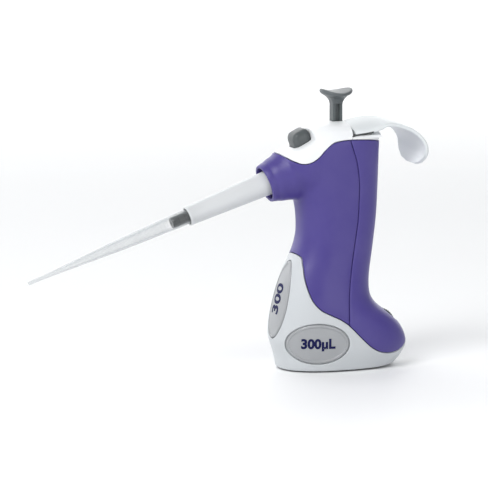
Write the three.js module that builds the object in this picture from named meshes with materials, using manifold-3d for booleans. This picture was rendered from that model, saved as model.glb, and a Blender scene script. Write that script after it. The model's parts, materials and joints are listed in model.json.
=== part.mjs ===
// Self-standing single-channel pipette, in millimetres.
// Origin: centre of the foot, on the surface it stands on. -X is forward (nozzle), +X is the heel and
// hook side, +Z is up. The body is symmetric about the plane y = 0.
import * as THREE from 'three';
import { mergeVertices } from 'three/addons/utils/BufferGeometryUtils.js';
import Module from 'manifold-3d';

const wasm = await Module();
wasm.setup();

// ---------------------------------------------------------------- driving dimensions
const GAP = 0.3;                 // air between neighbouring pieces
const WALL = 1.6;                // shell wall
const RING = 30;                 // points round a body section
const SQUARENESS = 2.4;          // exponent of the body's rounded sections

const NOZZLE_TILT = THREE.MathUtils.degToRad(19.2);   // nozzle below the horizontal
const NOZZLE_START = new THREE.Vector3(-35.3, 0, 85.1); // centre of the nose rim, on the nozzle axis

const PLUNGER_X = -0.7;
const PLUNGER_TRAVEL = 7.6;
const STEM_WIDTH = 4.6;
const STEM_BOTTOM = 108;
const STEM_TOP = 121.4;
const ROD_RADIUS = 1.5;

const ROCKER_PIVOT = new THREE.Vector2(12.4, 88.6);
const ROCKER_ARM = 12.4;
const ROCKER_LIFT = Math.asin(PLUNGER_TRAVEL / 2 / ROCKER_ARM); // angle above mid stroke at rest
const ROLLER_RADIUS = 1.4;
const HUB_RADIUS = 2.2;
const PIN_RADIUS = 1.0;

const CHASSIS_INNER = 5.0;       // |y| of the chassis plates' inner faces
const CHASSIS_OUTER = 6.2;

const SLEEVE_END = 39.3;         // along the nozzle from the nose rim
const SLEEVE_RADIUS_BACK = 5.5;
const SLEEVE_RADIUS_FRONT = 4.3;
const SLEEVE_WALL = 0.65;
const BARREL_RADIUS = 3.3;
const BARREL_END = 36;
const BORE_RADIUS = 1.7;
const PISTON_RADIUS = 1.35;
const CONE_END = 47.4;
const TIP_START = 37.1;
const TIP_END = 118.9;

const KNOB_ALONG = -22.1;        // knob centre along the nozzle axis
const KNOB_SIDE = 10.4;
const KNOB_CORNER = 2.6;
const KNOB_BOTTOM = 13.2;        // height of its lower edge above the nozzle axis

const WHEEL_X = 19.5;
const WHEEL_Z = 17.3;
const WHEEL_RADIUS = 9.0;
const WHEEL_WIDTH = 5.6;
const WHEEL_RIDGES = 24;
const SCREW_X = 6.6;             // volume lead screw
const WORM_RADIUS = 3.6;

const SADDLE_TOP = 108.9;        // crown of the rail that the hook slides on
const SADDLE_DROP = 2.6;
const HOOK_FRONT = 2.6;

// ---------------------------------------------------------------- body section tables
// [height, front x, rear x, half width] from the foot up to the crown
const BODY = [
  [0.5, -28.4, 25.2, 17.4],
  [3, -28.9, 27.9, 18.3],
  [6.5, -29.5, 30.6, 19.4],
  [10, -30.6, 32.2, 20.0],
  [14, -31.9, 31.5, 20.2],
  [19, -31.9, 28.9, 20.1],
  [24, -31.2, 23.9, 19.6],
  [28, -30.3, 18.2, 19.1],
  [32, -29.3, 14.8, 18.5],
  [38, -27.7, 13.7, 17.4],
  [45, -25.2, 14.2, 16.2],
  [52, -21.8, 15.3, 15.3],
  [60, -19.2, 16.4, 14.8],
  [68, -18.9, 17.4, 14.6],
  [76, -20.0, 18.0, 14.5],
  [84, -22.6, 18.4, 14.5],
  [92, -26.0, 18.8, 14.4],
  [98.6, -29.6, 19.1, 14.2],
  [100.4, -29.2, 19.2, 14.1],
  [104, -23.6, 19.2, 13.8],
  [107.4, -18.3, 18.8, 12.9],
  [109.8, -14.5, 17.0, 11.2],
  [111.3, -11.6, 13.0, 8.6],
  [112, -8.2, 7.0, 5.6],
];
const CAVITY_FLOOR = -2;
const CAVITY_TOP = 109.6;

// Parting lines in the side view, [x, z]
const CAP_LINE = [
  [-48, 104.5], [-29.8, 98.9], [-25.2, 96.1], [-21.5, 94.8], [-18, 95.2], [-15.8, 96.3],
  [-13.5, 98.2], [-11.1, 100.9], [-8.7, 103], [-6.3, 104.2], [-3.2, 104.7], [9.6, 104.5],
  [19.5, 103.2], [30, 102.6],
];
const SKIRT_LINE = [
  [-45, 57], [-22, 53.4], [-20.7, 52.2], [-20.7, 49], [-20.8, 42.6], [-19.8, 37.1],
  [-18.1, 32.6], [-14.9, 28.9], [-10.3, 26.4], [-5.6, 24.1], [-2, 21.6], [1.6, 18], [6, 13.6],
  [9.8, 10.4], [13.8, 8.3], [18.8, 7.3], [23.3, 7.5], [27.3, 8.8], [31, 11.2], [40, 18],
];
const REAR_LINE = [
  [1.1, 118], [1.1, 104.6], [2.3, 100.8], [3.9, 96], [4.8, 91], [5.4, 83.7], [5.2, 78],
  [4.8, 70.4], [3.4, 60.7], [1.7, 51], [0, 40.8], [-1.1, 32.4], [-1.8, 21.9], [-2.2, 5],
];

const group = new THREE.Group();

// ---------------------------------------------------------------- helpers
const COLOURS = {
  purple: { color: 0x4d3f92, roughness: 0.34, metalness: 0 },
  violet: { color: 0x5b4f9e, roughness: 0.36, metalness: 0 },
  white: { color: 0xeceef0, roughness: 0.4, metalness: 0 },
  base: { color: 0xc9ced4, roughness: 0.42, metalness: 0 },
  silver: { color: 0xa9aeb4, roughness: 0.3, metalness: 0.7 },
  charcoal: { color: 0x3d4648, roughness: 0.45, metalness: 0 },
  grey: { color: 0x8b9094, roughness: 0.5, metalness: 0 },
  acetal: { color: 0xd9d4c6, roughness: 0.5, metalness: 0 },
  steel: { color: 0x9da2a8, roughness: 0.28, metalness: 1 },
  rubber: { color: 0x2c2e30, roughness: 0.85, metalness: 0 },
  clear: { color: 0xdfe6ea, roughness: 0.12, metalness: 0 },
};

function addMesh(name, geometry, colour, parent = group) {
  const mesh = new THREE.Mesh(geometry, new THREE.MeshStandardMaterial(COLOURS[colour]));
  mesh.name = name;
  parent.add(mesh);
  return mesh;
}

// A closed skin through rings of equal length. Ring point i faces point n-1-i in the end caps.
function loft(rings) {
  const count = rings[0].length;
  const positions = rings.flat().flatMap((p) => [p.x, p.y, p.z]);
  const index = [];
  for (let r = 0; r < rings.length - 1; r += 1) {
    for (let i = 0; i < count; i += 1) {
      const a = r * count + i;
      const b = r * count + ((i + 1) % count);
      index.push(a, b, b + count, a, b + count, a + count);
    }
  }
  const last = (rings.length - 1) * count;
  for (let i = 0; i < count / 2 - 1; i += 1) {
    const j = count - 1 - i;
    index.push(i, j, i + 1, j, j - 1, i + 1);
    index.push(last + i, last + i + 1, last + j, last + j, last + i + 1, last + j - 1);
  }
  const geometry = new THREE.BufferGeometry();
  geometry.setAttribute('position', new THREE.Float32BufferAttribute(positions, 3));
  geometry.setIndex(index);
  return geometry;
}

function toSolid(geometry) {
  const bare = geometry.clone();
  bare.deleteAttribute('normal');
  bare.deleteAttribute('uv');
  const merged = mergeVertices(bare, 1e-5);
  const triVerts = new Uint32Array(merged.index.array);
  const vertProperties = new Float32Array(merged.attributes.position.array);
  return new wasm.Manifold(new wasm.Mesh({ numProp: 3, vertProperties, triVerts }));
}

function toGeometry(solid) {
  const mesh = solid.getMesh();
  const geometry = new THREE.BufferGeometry();
  geometry.setAttribute('position', new THREE.BufferAttribute(new Float32Array(mesh.vertProperties), 3));
  geometry.setIndex(new THREE.BufferAttribute(new Uint32Array(mesh.triVerts), 1));
  return geometry;
}

const joined = (...geometries) => geometries.map(toSolid).reduce((a, b) => a.add(b));

function box(x0, x1, y0, y1, z0, z1) {
  const geometry = new THREE.BoxGeometry(x1 - x0, y1 - y0, z1 - z0);
  geometry.translate((x0 + x1) / 2, (y0 + y1) / 2, (z0 + z1) / 2);
  return geometry;
}

// Cylinder along Y through (x, z)
function pinAlongY(x, z, radius, y0, y1, sides = 16) {
  const geometry = new THREE.CylinderGeometry(radius, radius, y1 - y0, sides);
  geometry.translate(x, (y0 + y1) / 2, z);
  return geometry;
}

// Lathe about the Z axis from [radius, height] points
function turned(profile, sides) {
  const geometry = new THREE.LatheGeometry(profile.map(([r, h]) => new THREE.Vector2(r, h)), sides);
  geometry.rotateX(Math.PI / 2);
  return geometry;
}

// Side-view outline [x, z] pulled out along Y
function sidePlate(outline, y0, y1) {
  const shape = new THREE.Shape(outline.map(([x, z]) => new THREE.Vector2(x, z)));
  const geometry = new THREE.ExtrudeGeometry(shape, { depth: y1 - y0, bevelEnabled: false });
  geometry.rotateX(Math.PI / 2);
  geometry.translate(0, y1, 0);
  return geometry;
}

function shifted(line, distance) {
  return line.map(([x, z], i) => {
    const [xa, za] = line[Math.max(i - 1, 0)];
    const [xb, zb] = line[Math.min(i + 1, line.length - 1)];
    const length = Math.hypot(xb - xa, zb - za);
    return [x - (zb - za) / length * distance, z + (xb - xa) / length * distance];
  });
}

function ovalRing(z, front, rear, half, inset) {
  const centre = (front + rear) / 2;
  const a = (rear - front) / 2 - inset;
  const b = half - inset;
  const ring = [];
  for (let i = 0; i < RING; i += 1) {
    const angle = 2 * Math.PI * (i + 0.5) / RING;
    const c = Math.cos(angle);
    const s = Math.sin(angle);
    const x = Math.sign(c) * Math.abs(c) ** (2 / SQUARENESS) * a;
    const y = Math.sign(s) * Math.abs(s) ** (2 / SQUARENESS) * b;
    ring.push(new THREE.Vector3(centre + x, y, z));
  }
  return ring;
}

// Coil spring along Z
function coil(radius, wire, z0, z1, turns) {
  class Helix extends THREE.Curve {
    getPoint(t, target = new THREE.Vector3()) {
      const angle = t * turns * 2 * Math.PI;
      return target.set(radius * Math.cos(angle), radius * Math.sin(angle), z0 + (z1 - z0) * t);
    }
  }
  const section = new THREE.Shape([0, 1, 2, 3, 4].map((i) => new THREE.Vector2(
    wire * Math.cos(0.4 * Math.PI * i), wire * Math.sin(0.4 * Math.PI * i),
  )));
  return new THREE.ExtrudeGeometry(section, {
    steps: turns * 9, extrudePath: new Helix(), bevelEnabled: false,
  });
}

// The nozzle frame: local z runs out along the nozzle, local x points up from it
const nozzleMatrix = new THREE.Matrix4()
  .makeRotationY(-(Math.PI / 2 + NOZZLE_TILT))
  .setPosition(NOZZLE_START);
const onNozzle = (geometry) => geometry.clone().applyMatrix4(nozzleMatrix);
const nozzle = new THREE.Group();
nozzle.applyMatrix4(nozzleMatrix);
group.add(nozzle);

// ---------------------------------------------------------------- body shells
function bodySolid(inset, bottom, top) {
  const rows = BODY.filter(([z]) => z > bottom && z < top);
  const edge = (z) => {
    const k = Math.max(1, BODY.findIndex((row) => row[0] >= z));
    const [low, high] = [BODY[k - 1], BODY[k]];
    const t = (z - low[0]) / (high[0] - low[0]);
    return low.map((v, i) => v + (high[i] - v) * t);
  };
  const all = [edge(bottom), ...rows, edge(top)];
  return toSolid(loft(all.map(([z, front, rear, half]) => ovalRing(z, front, rear, half, inset))));
}

// Nose: round sections along the nozzle, [along, radius, shift up]
function noseSolid(inset, overrun) {
  const sections = [[overrun, 8.6, 0], [-5, 9.9, -0.3], [-11, 11.4, -0.8], [-18, 12.2, -1.2]];
  const rings = sections.map(([along, radius, shift]) => {
    const ring = [];
    for (let i = 0; i < 32; i += 1) {
      const angle = 2 * Math.PI * (i + 0.5) / 32;
      const r = radius - inset;
      ring.push(new THREE.Vector3(r * Math.cos(angle) + shift, r * Math.sin(angle), along));
    }
    return ring;
  });
  return toSolid(onNozzle(loft(rings.reverse())));
}

const outer = bodySolid(0, 0.5, 112).add(noseSolid(0, 0));
const saddleRoom = toSolid(box(1.5, 30, -30, 30, 104.6, 120));
const cavity = bodySolid(WALL, CAVITY_FLOOR, CAVITY_TOP).subtract(saddleRoom).add(noseSolid(WALL, 3));
const innards = bodySolid(WALL + GAP, 1.5, CAVITY_TOP - GAP).subtract(saddleRoom);

const region = (outline) => toSolid(sidePlate(outline, -40, 40));
const HALF_GAP = GAP / 2;
const aboveCap = region([...shifted(CAP_LINE, HALF_GAP), [30, 140], [-48, 140]]);
const belowCap = region([...shifted(CAP_LINE, -HALF_GAP), [30, -10], [-48, -10]]);
const aboveSkirt = region([...shifted(SKIRT_LINE, HALF_GAP), [40, 140], [-60, 140], [-60, 57]]);
const belowSkirt = region([...shifted(SKIRT_LINE, -HALF_GAP), [40, -10], [-45, -10]]);
const ahead = region([...shifted(REAR_LINE, -HALF_GAP), [-60, 5], [-60, 118]]);
const behind = region([...shifted(REAR_LINE, HALF_GAP), [60, 5], [60, 118]]);

// Leaf-shaped name plate on the prow and oval volume plates on the sides, let into the skirt
function prism(outline, direction, origin) {
  const shape = new THREE.Shape(outline);
  const geometry = new THREE.ExtrudeGeometry(shape, { depth: 30, bevelEnabled: false });
  const across = new THREE.Vector3().crossVectors(new THREE.Vector3(0, 0, 1), direction).normalize();
  const up = new THREE.Vector3().crossVectors(direction, across);
  const place = new THREE.Matrix4().makeBasis(across, up, direction).setPosition(origin);
  return toSolid(geometry.applyMatrix4(place));
}

function leafOutline(half, height, grow) {
  const points = [];
  for (let i = 0; i < 20; i += 1) {
    const angle = 2 * Math.PI * i / 20;
    const taper = 1 - 0.16 * Math.sin(angle);
    points.push(new THREE.Vector2((half * taper * Math.cos(angle)) + Math.cos(angle) * grow,
      (height / 2 + grow) * Math.sin(angle)));
  }
  return points;
}

function ovalOutline(half, height, grow) {
  const points = [];
  for (let i = 0; i < 20; i += 1) {
    const angle = 2 * Math.PI * i / 20;
    points.push(new THREE.Vector2((half + grow) * Math.cos(angle), (height / 2 + grow) * Math.sin(angle)));
  }
  return points;
}

const PLATE_THICKNESS = 0.7;
const PLATE_RECESS = 1.0;
const plates = [
  { name: 'front_plate', outline: leafOutline, half: 8.6, height: 35.5, toward: [-0.985, 0, 0.17],
    at: [-20, 0, 30.8] },
  { name: 'volume_plate_left', outline: ovalOutline, half: 14.2, height: 18, toward: [-0.27, -0.963, 0],
    at: [-12.4, -4, 13.4] },
  { name: 'volume_plate_right', outline: ovalOutline, half: 14.2, height: 18, toward: [-0.27, 0.963, 0],
    at: [-12.4, 4, 13.4] },
];
const plateCore = bodySolid(PLATE_THICKNESS, 0.5, 112);
const recessCore = bodySolid(PLATE_RECESS, 0.5, 112);

let skirt = outer.subtract(cavity).intersect(belowSkirt);
for (const plate of plates) {
  const direction = new THREE.Vector3(...plate.toward).normalize();
  const origin = new THREE.Vector3(...plate.at);
  const cut = prism(plate.outline(plate.half, plate.height, GAP), direction, origin);
  const keep = prism(plate.outline(plate.half, plate.height, 0), direction, origin);
  skirt = skirt.subtract(cut.subtract(recessCore));
  addMesh(plate.name, toGeometry(outer.intersect(keep).subtract(plateCore)), 'silver');
}
addMesh('base_skirt', toGeometry(skirt), 'base');

const shell = outer.subtract(cavity).intersect(belowCap).intersect(aboveSkirt);
addMesh('grip_shell', toGeometry(shell.intersect(ahead)), 'purple');
const WHEEL_SLOT = WHEEL_WIDTH / 2 + 0.6;
const wheelRoom = toSolid(pinAlongY(WHEEL_X, WHEEL_Z, WHEEL_RADIUS + 0.6, -WHEEL_SLOT, WHEEL_SLOT, 24));
addMesh('rear_cover', toGeometry(shell.intersect(behind).subtract(wheelRoom)), 'violet');

// ---------------------------------------------------------------- top cap
// The rail under the hook keeps one arched section all along X, so that the hook can slide
function saddle(lift, x0, x1) {
  const shape = new THREE.Shape();
  const steps = 10;
  for (let i = 0; i <= steps; i += 1) {
    const y = -16 + 32 * i / steps;
    const z = SADDLE_TOP + lift - SADDLE_DROP * (y / 13) ** 2;
    if (i === 0) shape.moveTo(y, z);
    else shape.lineTo(y, z);
  }
  shape.lineTo(16, 80);
  shape.lineTo(-16, 80);
  const geometry = new THREE.ExtrudeGeometry(shape, { depth: x1 - x0, bevelEnabled: false });
  geometry.rotateX(Math.PI / 2);
  geometry.rotateZ(Math.PI / 2);
  geometry.translate(x0, 0, 0);
  return toSolid(geometry);
}

function roundedSquare(side, corner) {
  const half = side / 2;
  const shape = new THREE.Shape();
  shape.moveTo(-half + corner, -half);
  shape.lineTo(half - corner, -half);
  shape.absarc(half - corner, -half + corner, corner, -Math.PI / 2, 0);
  shape.lineTo(half, half - corner);
  shape.absarc(half - corner, half - corner, corner, 0, Math.PI / 2);
  shape.lineTo(-half + corner, half);
  shape.absarc(-half + corner, half - corner, corner, Math.PI / 2, Math.PI);
  shape.lineTo(-half, -half + corner);
  shape.absarc(-half + corner, -half + corner, corner, Math.PI, 1.5 * Math.PI);
  return shape;
}

// Rounded-square column square to the nozzle axis: its length runs along local x
function knobColumn(side, corner, from, to) {
  const geometry = new THREE.ExtrudeGeometry(roundedSquare(side, corner), {
    depth: to - from, bevelEnabled: false, curveSegments: 4,
  });
  geometry.rotateY(Math.PI / 2);
  geometry.translate(from, 0, KNOB_ALONG);
  return geometry;
}

const stemRoom = toSolid(box(
  PLUNGER_X - STEM_WIDTH / 2 - GAP, PLUNGER_X + STEM_WIDTH / 2 + GAP,
  -STEM_WIDTH / 2 - GAP, STEM_WIDTH / 2 + GAP, 104, 116,
));
const knobRoom = toSolid(onNozzle(knobColumn(KNOB_SIDE + 2 * GAP, KNOB_CORNER + GAP, 9.6, 24)));
const behindHookFront = toSolid(box(HOOK_FRONT - GAP, 40, -20, 20, 80, 120));
const aboveSaddle = behindHookFront.subtract(saddle(-HALF_GAP, -5, 50));
const cap = outer.subtract(cavity).intersect(aboveCap)
  .subtract(stemRoom)
  .subtract(knobRoom)
  .subtract(aboveSaddle);
addMesh('top_cap', toGeometry(cap), 'white');

// ---------------------------------------------------------------- hook
// Arched strip along the mid plane: [x, z, half width, sag of the arch, thickness]
const HOOK = [
  [2.6, 111.4, 10.6, 3.2, 5.4],
  [6, 112.5, 12.0, 4.2, 6.0],
  [11, 113.4, 12.9, 4.6, 6.0],
  [16.5, 113.6, 13.2, 4.2, 4.6],
  [21.5, 112.9, 13.2, 2.9, 3.0],
  [26.3, 111.4, 13.6, 2.3, 2.3],
  [31.2, 109.2, 14.6, 1.9, 2.1],
  [35.4, 106.1, 15.6, 1.6, 2.0],
  [38.3, 102.2, 16.4, 1.5, 2.0],
  [39.3, 98.4, 16.5, 1.4, 2.0],
  [38.9, 95.0, 14.8, 1.3, 1.9],
  [38.0, 92.4, 11.0, 0.9, 1.8],
  [37.4, 91.1, 5.6, 0.4, 1.5],
];
const ACROSS = 8;
const hookRings = HOOK.map(([x, z, half, sag, thickness], i) => {
  const before = HOOK[Math.max(i - 1, 0)];
  const after = HOOK[Math.min(i + 1, HOOK.length - 1)];
  const length = Math.hypot(after[0] - before[0], after[1] - before[1]);
  const down = [(after[1] - before[1]) / length, -(after[0] - before[0]) / length];
  const row = (depth) => {
    const points = [];
    for (let k = 0; k <= ACROSS; k += 1) {
      const side = -1 + 2 * k / ACROSS;
      const sink = sag * side * side + depth * (1 - 0.25 * side * side);
      points.push(new THREE.Vector3(x + down[0] * sink, side * half, z + down[1] * sink));
    }
    return points;
  };
  return [...row(0), ...row(thickness).reverse()];
});
const hook = toSolid(loft(hookRings.reverse())).subtract(saddle(HALF_GAP, -5, 21.5));
addMesh('finger_hook', toGeometry(hook), 'white');

// ---------------------------------------------------------------- base
const footRing = (z, inset) => ovalRing(z, -28.4, 25.2, 17.4, inset);
addMesh('foot_pad', loft([footRing(0, 2.6), footRing(1.4, 2.2)]), 'rubber');
const FOOT_SCREWS = [[-20, 0], [-6, 11], [-6, -11], [17, 0]];
const ballastCut = FOOT_SCREWS.map(([x, y]) => {
  const hole = new THREE.CylinderGeometry(1.8, 1.8, 12, 12);
  hole.rotateX(Math.PI / 2);
  hole.translate(x, y, 6.5);
  return toSolid(hole);
}).reduce((a, b) => a.add(b));
const ballastBlock = loft([ovalRing(1.9, -25, 22, 14, 0), ovalRing(9.5, -25, 10.2, 14.4, 0)]);
const wheelWell = toSolid(pinAlongY(WHEEL_X, WHEEL_Z, WHEEL_RADIUS + 0.8, -4.4, 4.4, 24));
const ballast = toSolid(ballastBlock).subtract(ballastCut).subtract(wheelWell)
  .subtract(toSolid(box(SCREW_X - 5, SCREW_X + 5, -5, 5, 7.2, 12)));
addMesh('ballast_weight', toGeometry(ballast), 'steel');
FOOT_SCREWS.forEach(([x, y], i) => {
  const screw = turned([[0, 1.8], [1.4, 1.8], [1.4, 8.4], [0, 8.4]], 12);
  screw.translate(x, y, 0);
  addMesh(`foot_screw_${i + 1}`, screw, 'steel');
});

// ---------------------------------------------------------------- chassis, spacers and screws
const CHASSIS_LINE = [
  [14, 14.6], [17, 13], [22, 14.2], [22.6, 20], [17, 22], [10.8, 28], [10.8, 44], [13, 62], [14.4, 80],
  [14.4, 91.5], [10, 94], [6, 94], [2, 91], [-6, 90], [-17, 86.2], [-22.5, 86.6], [-25, 84.6], [-21.5, 80],
  [-15.5, 77], [-15, 62], [-18, 48], [-18, 24], [-8, 20], [6, 20],
];
const SPACERS = [[-14, 30], [-4, 30], [-12, 58], [11.2, 72]];
const chassisHoles = [
  ...SPACERS.map(([x, z]) => pinAlongY(x, z, 1.1, -9, 9, 12)),
  pinAlongY(ROCKER_PIVOT.x, ROCKER_PIVOT.y, PIN_RADIUS + 0.1, -9, 9, 16),
  pinAlongY(WHEEL_X, WHEEL_Z, PIN_RADIUS + 0.1, -9, 9, 16),
].map(toSolid).reduce((a, b) => a.add(b));
for (const [side, sign] of [['left', -1], ['right', 1]]) {
  const [low, high] = sign < 0 ? [-CHASSIS_OUTER, -CHASSIS_INNER] : [CHASSIS_INNER, CHASSIS_OUTER];
  const plate = toSolid(sidePlate(CHASSIS_LINE, low, high)).intersect(innards).subtract(chassisHoles);
  addMesh(`chassis_${side}`, toGeometry(plate), 'grey');
}
SPACERS.forEach(([x, z], i) => {
  const reach = CHASSIS_INNER - GAP;
  const tube = toSolid(pinAlongY(x, z, 2.0, -reach, reach, 16))
    .subtract(toSolid(pinAlongY(x, z, 1.1, -9, 9, 12)));
  addMesh(`chassis_spacer_${i + 1}`, toGeometry(tube), 'acetal');
  const head = CHASSIS_OUTER + GAP;
  const screw = joined(
    pinAlongY(x, z, 0.8, -head - 0.5, head - 1, 12),
    pinAlongY(x, z, 1.8, -head - 1.2, -head, 12),
  );
  addMesh(`chassis_screw_${i + 1}`, toGeometry(screw), 'steel');
});
addMesh('spring_seat', box(-4.4, 4.4, -CHASSIS_INNER + GAP, CHASSIS_INNER - GAP, 68.5, 70.5), 'acetal');

// ---------------------------------------------------------------- plunger
const half = STEM_WIDTH / 2;
const GROOVE_HALF = 0.95;
const GROOVE_DEPTH = 1.3;
const stemShape = new THREE.Shape([
  [-half, -half], [-GROOVE_HALF, -half], [-GROOVE_HALF, -half + GROOVE_DEPTH],
  [GROOVE_HALF, -half + GROOVE_DEPTH], [GROOVE_HALF, -half], [half, -half],
  [half, half], [GROOVE_HALF, half], [GROOVE_HALF, half - GROOVE_DEPTH],
  [-GROOVE_HALF, half - GROOVE_DEPTH], [-GROOVE_HALF, half], [-half, half],
].map(([x, y]) => new THREE.Vector2(x, y)));
const stem = new THREE.ExtrudeGeometry(stemShape, { depth: STEM_TOP - STEM_BOTTOM, bevelEnabled: false });
stem.translate(PLUNGER_X, 0, STEM_BOTTOM);
addMesh('plunger_stem', stem, 'charcoal');

// Saddle pad: a flared neck under an oval top whose ends rise along X
const padRings = [[121.7, 2.6, 2.8, 0], [123.4, 3.6, 4.2, 0], [124.6, 6.8, 7.4, 0.2], [125.4, 7.4, 8.1, 0.5],
  [126.2, 7.2, 7.9, 0.7], [126.2, 5.0, 5.6, 0.35], [126.1, 2.0, 2.2, 0.05]].map(([z, a, b, rise]) => {
  const ring = [];
  for (let i = 0; i < 24; i += 1) {
    const angle = 2 * Math.PI * (i + 0.5) / 24;
    const lift = rise * Math.cos(2 * angle);
    ring.push(new THREE.Vector3(PLUNGER_X + a * Math.cos(angle), b * Math.sin(angle), z + lift));
  }
  return ring;
});
addMesh('thumb_pad', loft(padRings), 'grey');

const restAngle = Math.PI - ROCKER_LIFT;
const inputRoller = new THREE.Vector2(
  ROCKER_PIVOT.x + ROCKER_ARM * Math.cos(restAngle), ROCKER_PIVOT.y + ROCKER_ARM * Math.sin(restAngle),
);
const ROD_FOOT = inputRoller.y + ROLLER_RADIUS + GAP;
const rod = turned([
  [0, ROD_FOOT], [2.6, ROD_FOOT], [2.6, ROD_FOOT + 1.1], [ROD_RADIUS, ROD_FOOT + 1.1],
  [ROD_RADIUS, STEM_BOTTOM - GAP], [0, STEM_BOTTOM - GAP],
], 20);
rod.translate(PLUNGER_X, 0, 0);
addMesh('plunger_rod', rod, 'steel');

const springTop = inputRoller.y - ROLLER_RADIUS - 1.4;
const plungerSpring = coil(3.0, 0.4, 71.3, springTop, 7);
plungerSpring.translate(inputRoller.x, 0, 0);
addMesh('plunger_spring', plungerSpring, 'steel');

// ---------------------------------------------------------------- rocker
const outputAngle = Math.PI / 2 + NOZZLE_TILT - ROCKER_LIFT;
const outputRoller = new THREE.Vector2(
  ROCKER_PIVOT.x + ROCKER_ARM * Math.cos(outputAngle), ROCKER_PIVOT.y + ROCKER_ARM * Math.sin(outputAngle),
);
function armBetween(from, to, thickness, reach) {
  const along = to.clone().sub(from).normalize();
  const side = new THREE.Vector2(-along.y, along.x).multiplyScalar(thickness / 2);
  const corners = [from.clone().add(side), from.clone().sub(side), to.clone().sub(side), to.clone().add(side)];
  return sidePlate(corners.map((p) => [p.x, p.y]), -reach, reach);
}
const rocker = joined(
  pinAlongY(ROCKER_PIVOT.x, ROCKER_PIVOT.y, HUB_RADIUS, -4.6, 4.6, 20),
  armBetween(ROCKER_PIVOT, inputRoller, 2.2, 2.4),
  armBetween(ROCKER_PIVOT, outputRoller, 2.2, 2.4),
  pinAlongY(inputRoller.x, inputRoller.y, ROLLER_RADIUS, -2.6, 2.6, 16),
  pinAlongY(outputRoller.x, outputRoller.y, ROLLER_RADIUS, -4.4, 4.4, 16),
).subtract(toSolid(pinAlongY(ROCKER_PIVOT.x, ROCKER_PIVOT.y, PIN_RADIUS + 0.1, -9, 9, 16)));
addMesh('rocker_lever', toGeometry(rocker), 'acetal');
addMesh('rocker_pin', pinAlongY(ROCKER_PIVOT.x, ROCKER_PIVOT.y, PIN_RADIUS, -6.6, 6.6, 16), 'steel');

// ---------------------------------------------------------------- piston, along the nozzle
const rollerSpot = new THREE.Vector3(outputRoller.x, 0, outputRoller.y)
  .applyMatrix4(nozzleMatrix.clone().invert());
const YOKE_BACK = rollerSpot.z + ROLLER_RADIUS + GAP;
const YOKE_FRONT = -31;
const yoke = joined(
  box(-1.3, 1.3, -4.7, 4.7, YOKE_BACK, YOKE_BACK + 1),
  box(-1.3, 1.3, 3.3, 4.7, YOKE_BACK, YOKE_FRONT),
  box(-1.3, 1.3, -4.7, -3.3, YOKE_BACK, YOKE_FRONT),
  box(-1.3, 1.3, -4.7, 4.7, YOKE_FRONT - 1.2, YOKE_FRONT),
);
addMesh('piston_yoke', toGeometry(yoke), 'acetal', nozzle);
addMesh('piston_rod', turned([
  [0, YOKE_FRONT + GAP], [PISTON_RADIUS, YOKE_FRONT + GAP], [PISTON_RADIUS, 23.6], [1.0, 24], [0, 24],
], 20), 'steel', nozzle);

// ---------------------------------------------------------------- barrel, seal and cone
const FLANGE_BACK = -12;
const FLANGE_FRONT = -9;
const barrel = joined(
  turned([
    [0, FLANGE_BACK], [4.6, FLANGE_BACK], [4.6, FLANGE_FRONT], [BARREL_RADIUS, FLANGE_FRONT],
    [BARREL_RADIUS, 10], [4.1, 10], [4.1, 11.2], [BARREL_RADIUS, 11.2], [BARREL_RADIUS, BARREL_END - GAP],
    [0, BARREL_END - GAP],
  ], 24),
  box(-2.4, 2.4, -CHASSIS_INNER + GAP, CHASSIS_INNER - GAP, FLANGE_BACK, FLANGE_FRONT),
).subtract(joined(
  turned([[0, -20], [BORE_RADIUS, -20], [BORE_RADIUS, 50], [0, 50]], 20),
  turned([[0, -20], [2.6, -20], [2.6, -7.4], [0, -7.4]], 20),
));
addMesh('nozzle_barrel', toGeometry(barrel), 'grey', nozzle);
addMesh('piston_seal', turned([
  [1.65, -11], [2.3, -11], [2.3, -7.7], [1.65, -7.7], [1.65, -11],
], 20), 'rubber', nozzle);
addMesh('nozzle_cone', turned([
  [0.8, BARREL_END], [2.7, BARREL_END], [2.62, CONE_END - 0.4], [2.3, CONE_END], [0.8, CONE_END],
  [0.8, BARREL_END],
], 24), 'charcoal', nozzle);

// ---------------------------------------------------------------- ejector
const sleeveRadius = (along) => SLEEVE_RADIUS_BACK
  + (SLEEVE_RADIUS_FRONT - SLEEVE_RADIUS_BACK) * along / SLEEVE_END;
const sleeveBore = (along) => sleeveRadius(along) - SLEEVE_WALL;
const SLEEVE_BACK = -6;
addMesh('ejector_sleeve', turned([
  [3.65, SLEEVE_BACK], [6.8, SLEEVE_BACK], [6.8, -4.6], [sleeveRadius(-4.6), -4.6],
  [sleeveRadius(SLEEVE_END), SLEEVE_END], [sleeveBore(SLEEVE_END), SLEEVE_END],
  [sleeveBore(36.8), 36.8], [3.0, 36.8], [3.0, 36.2], [sleeveBore(36.2), 36.2],
  [sleeveBore(-4.6), -4.6], [3.65, -4.6], [3.65, SLEEVE_BACK],
], 28), 'white', nozzle);
addMesh('ejector_spring', coil(3.98, 0.3, -3.9, 9.4, 6), 'steel', nozzle);

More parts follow.
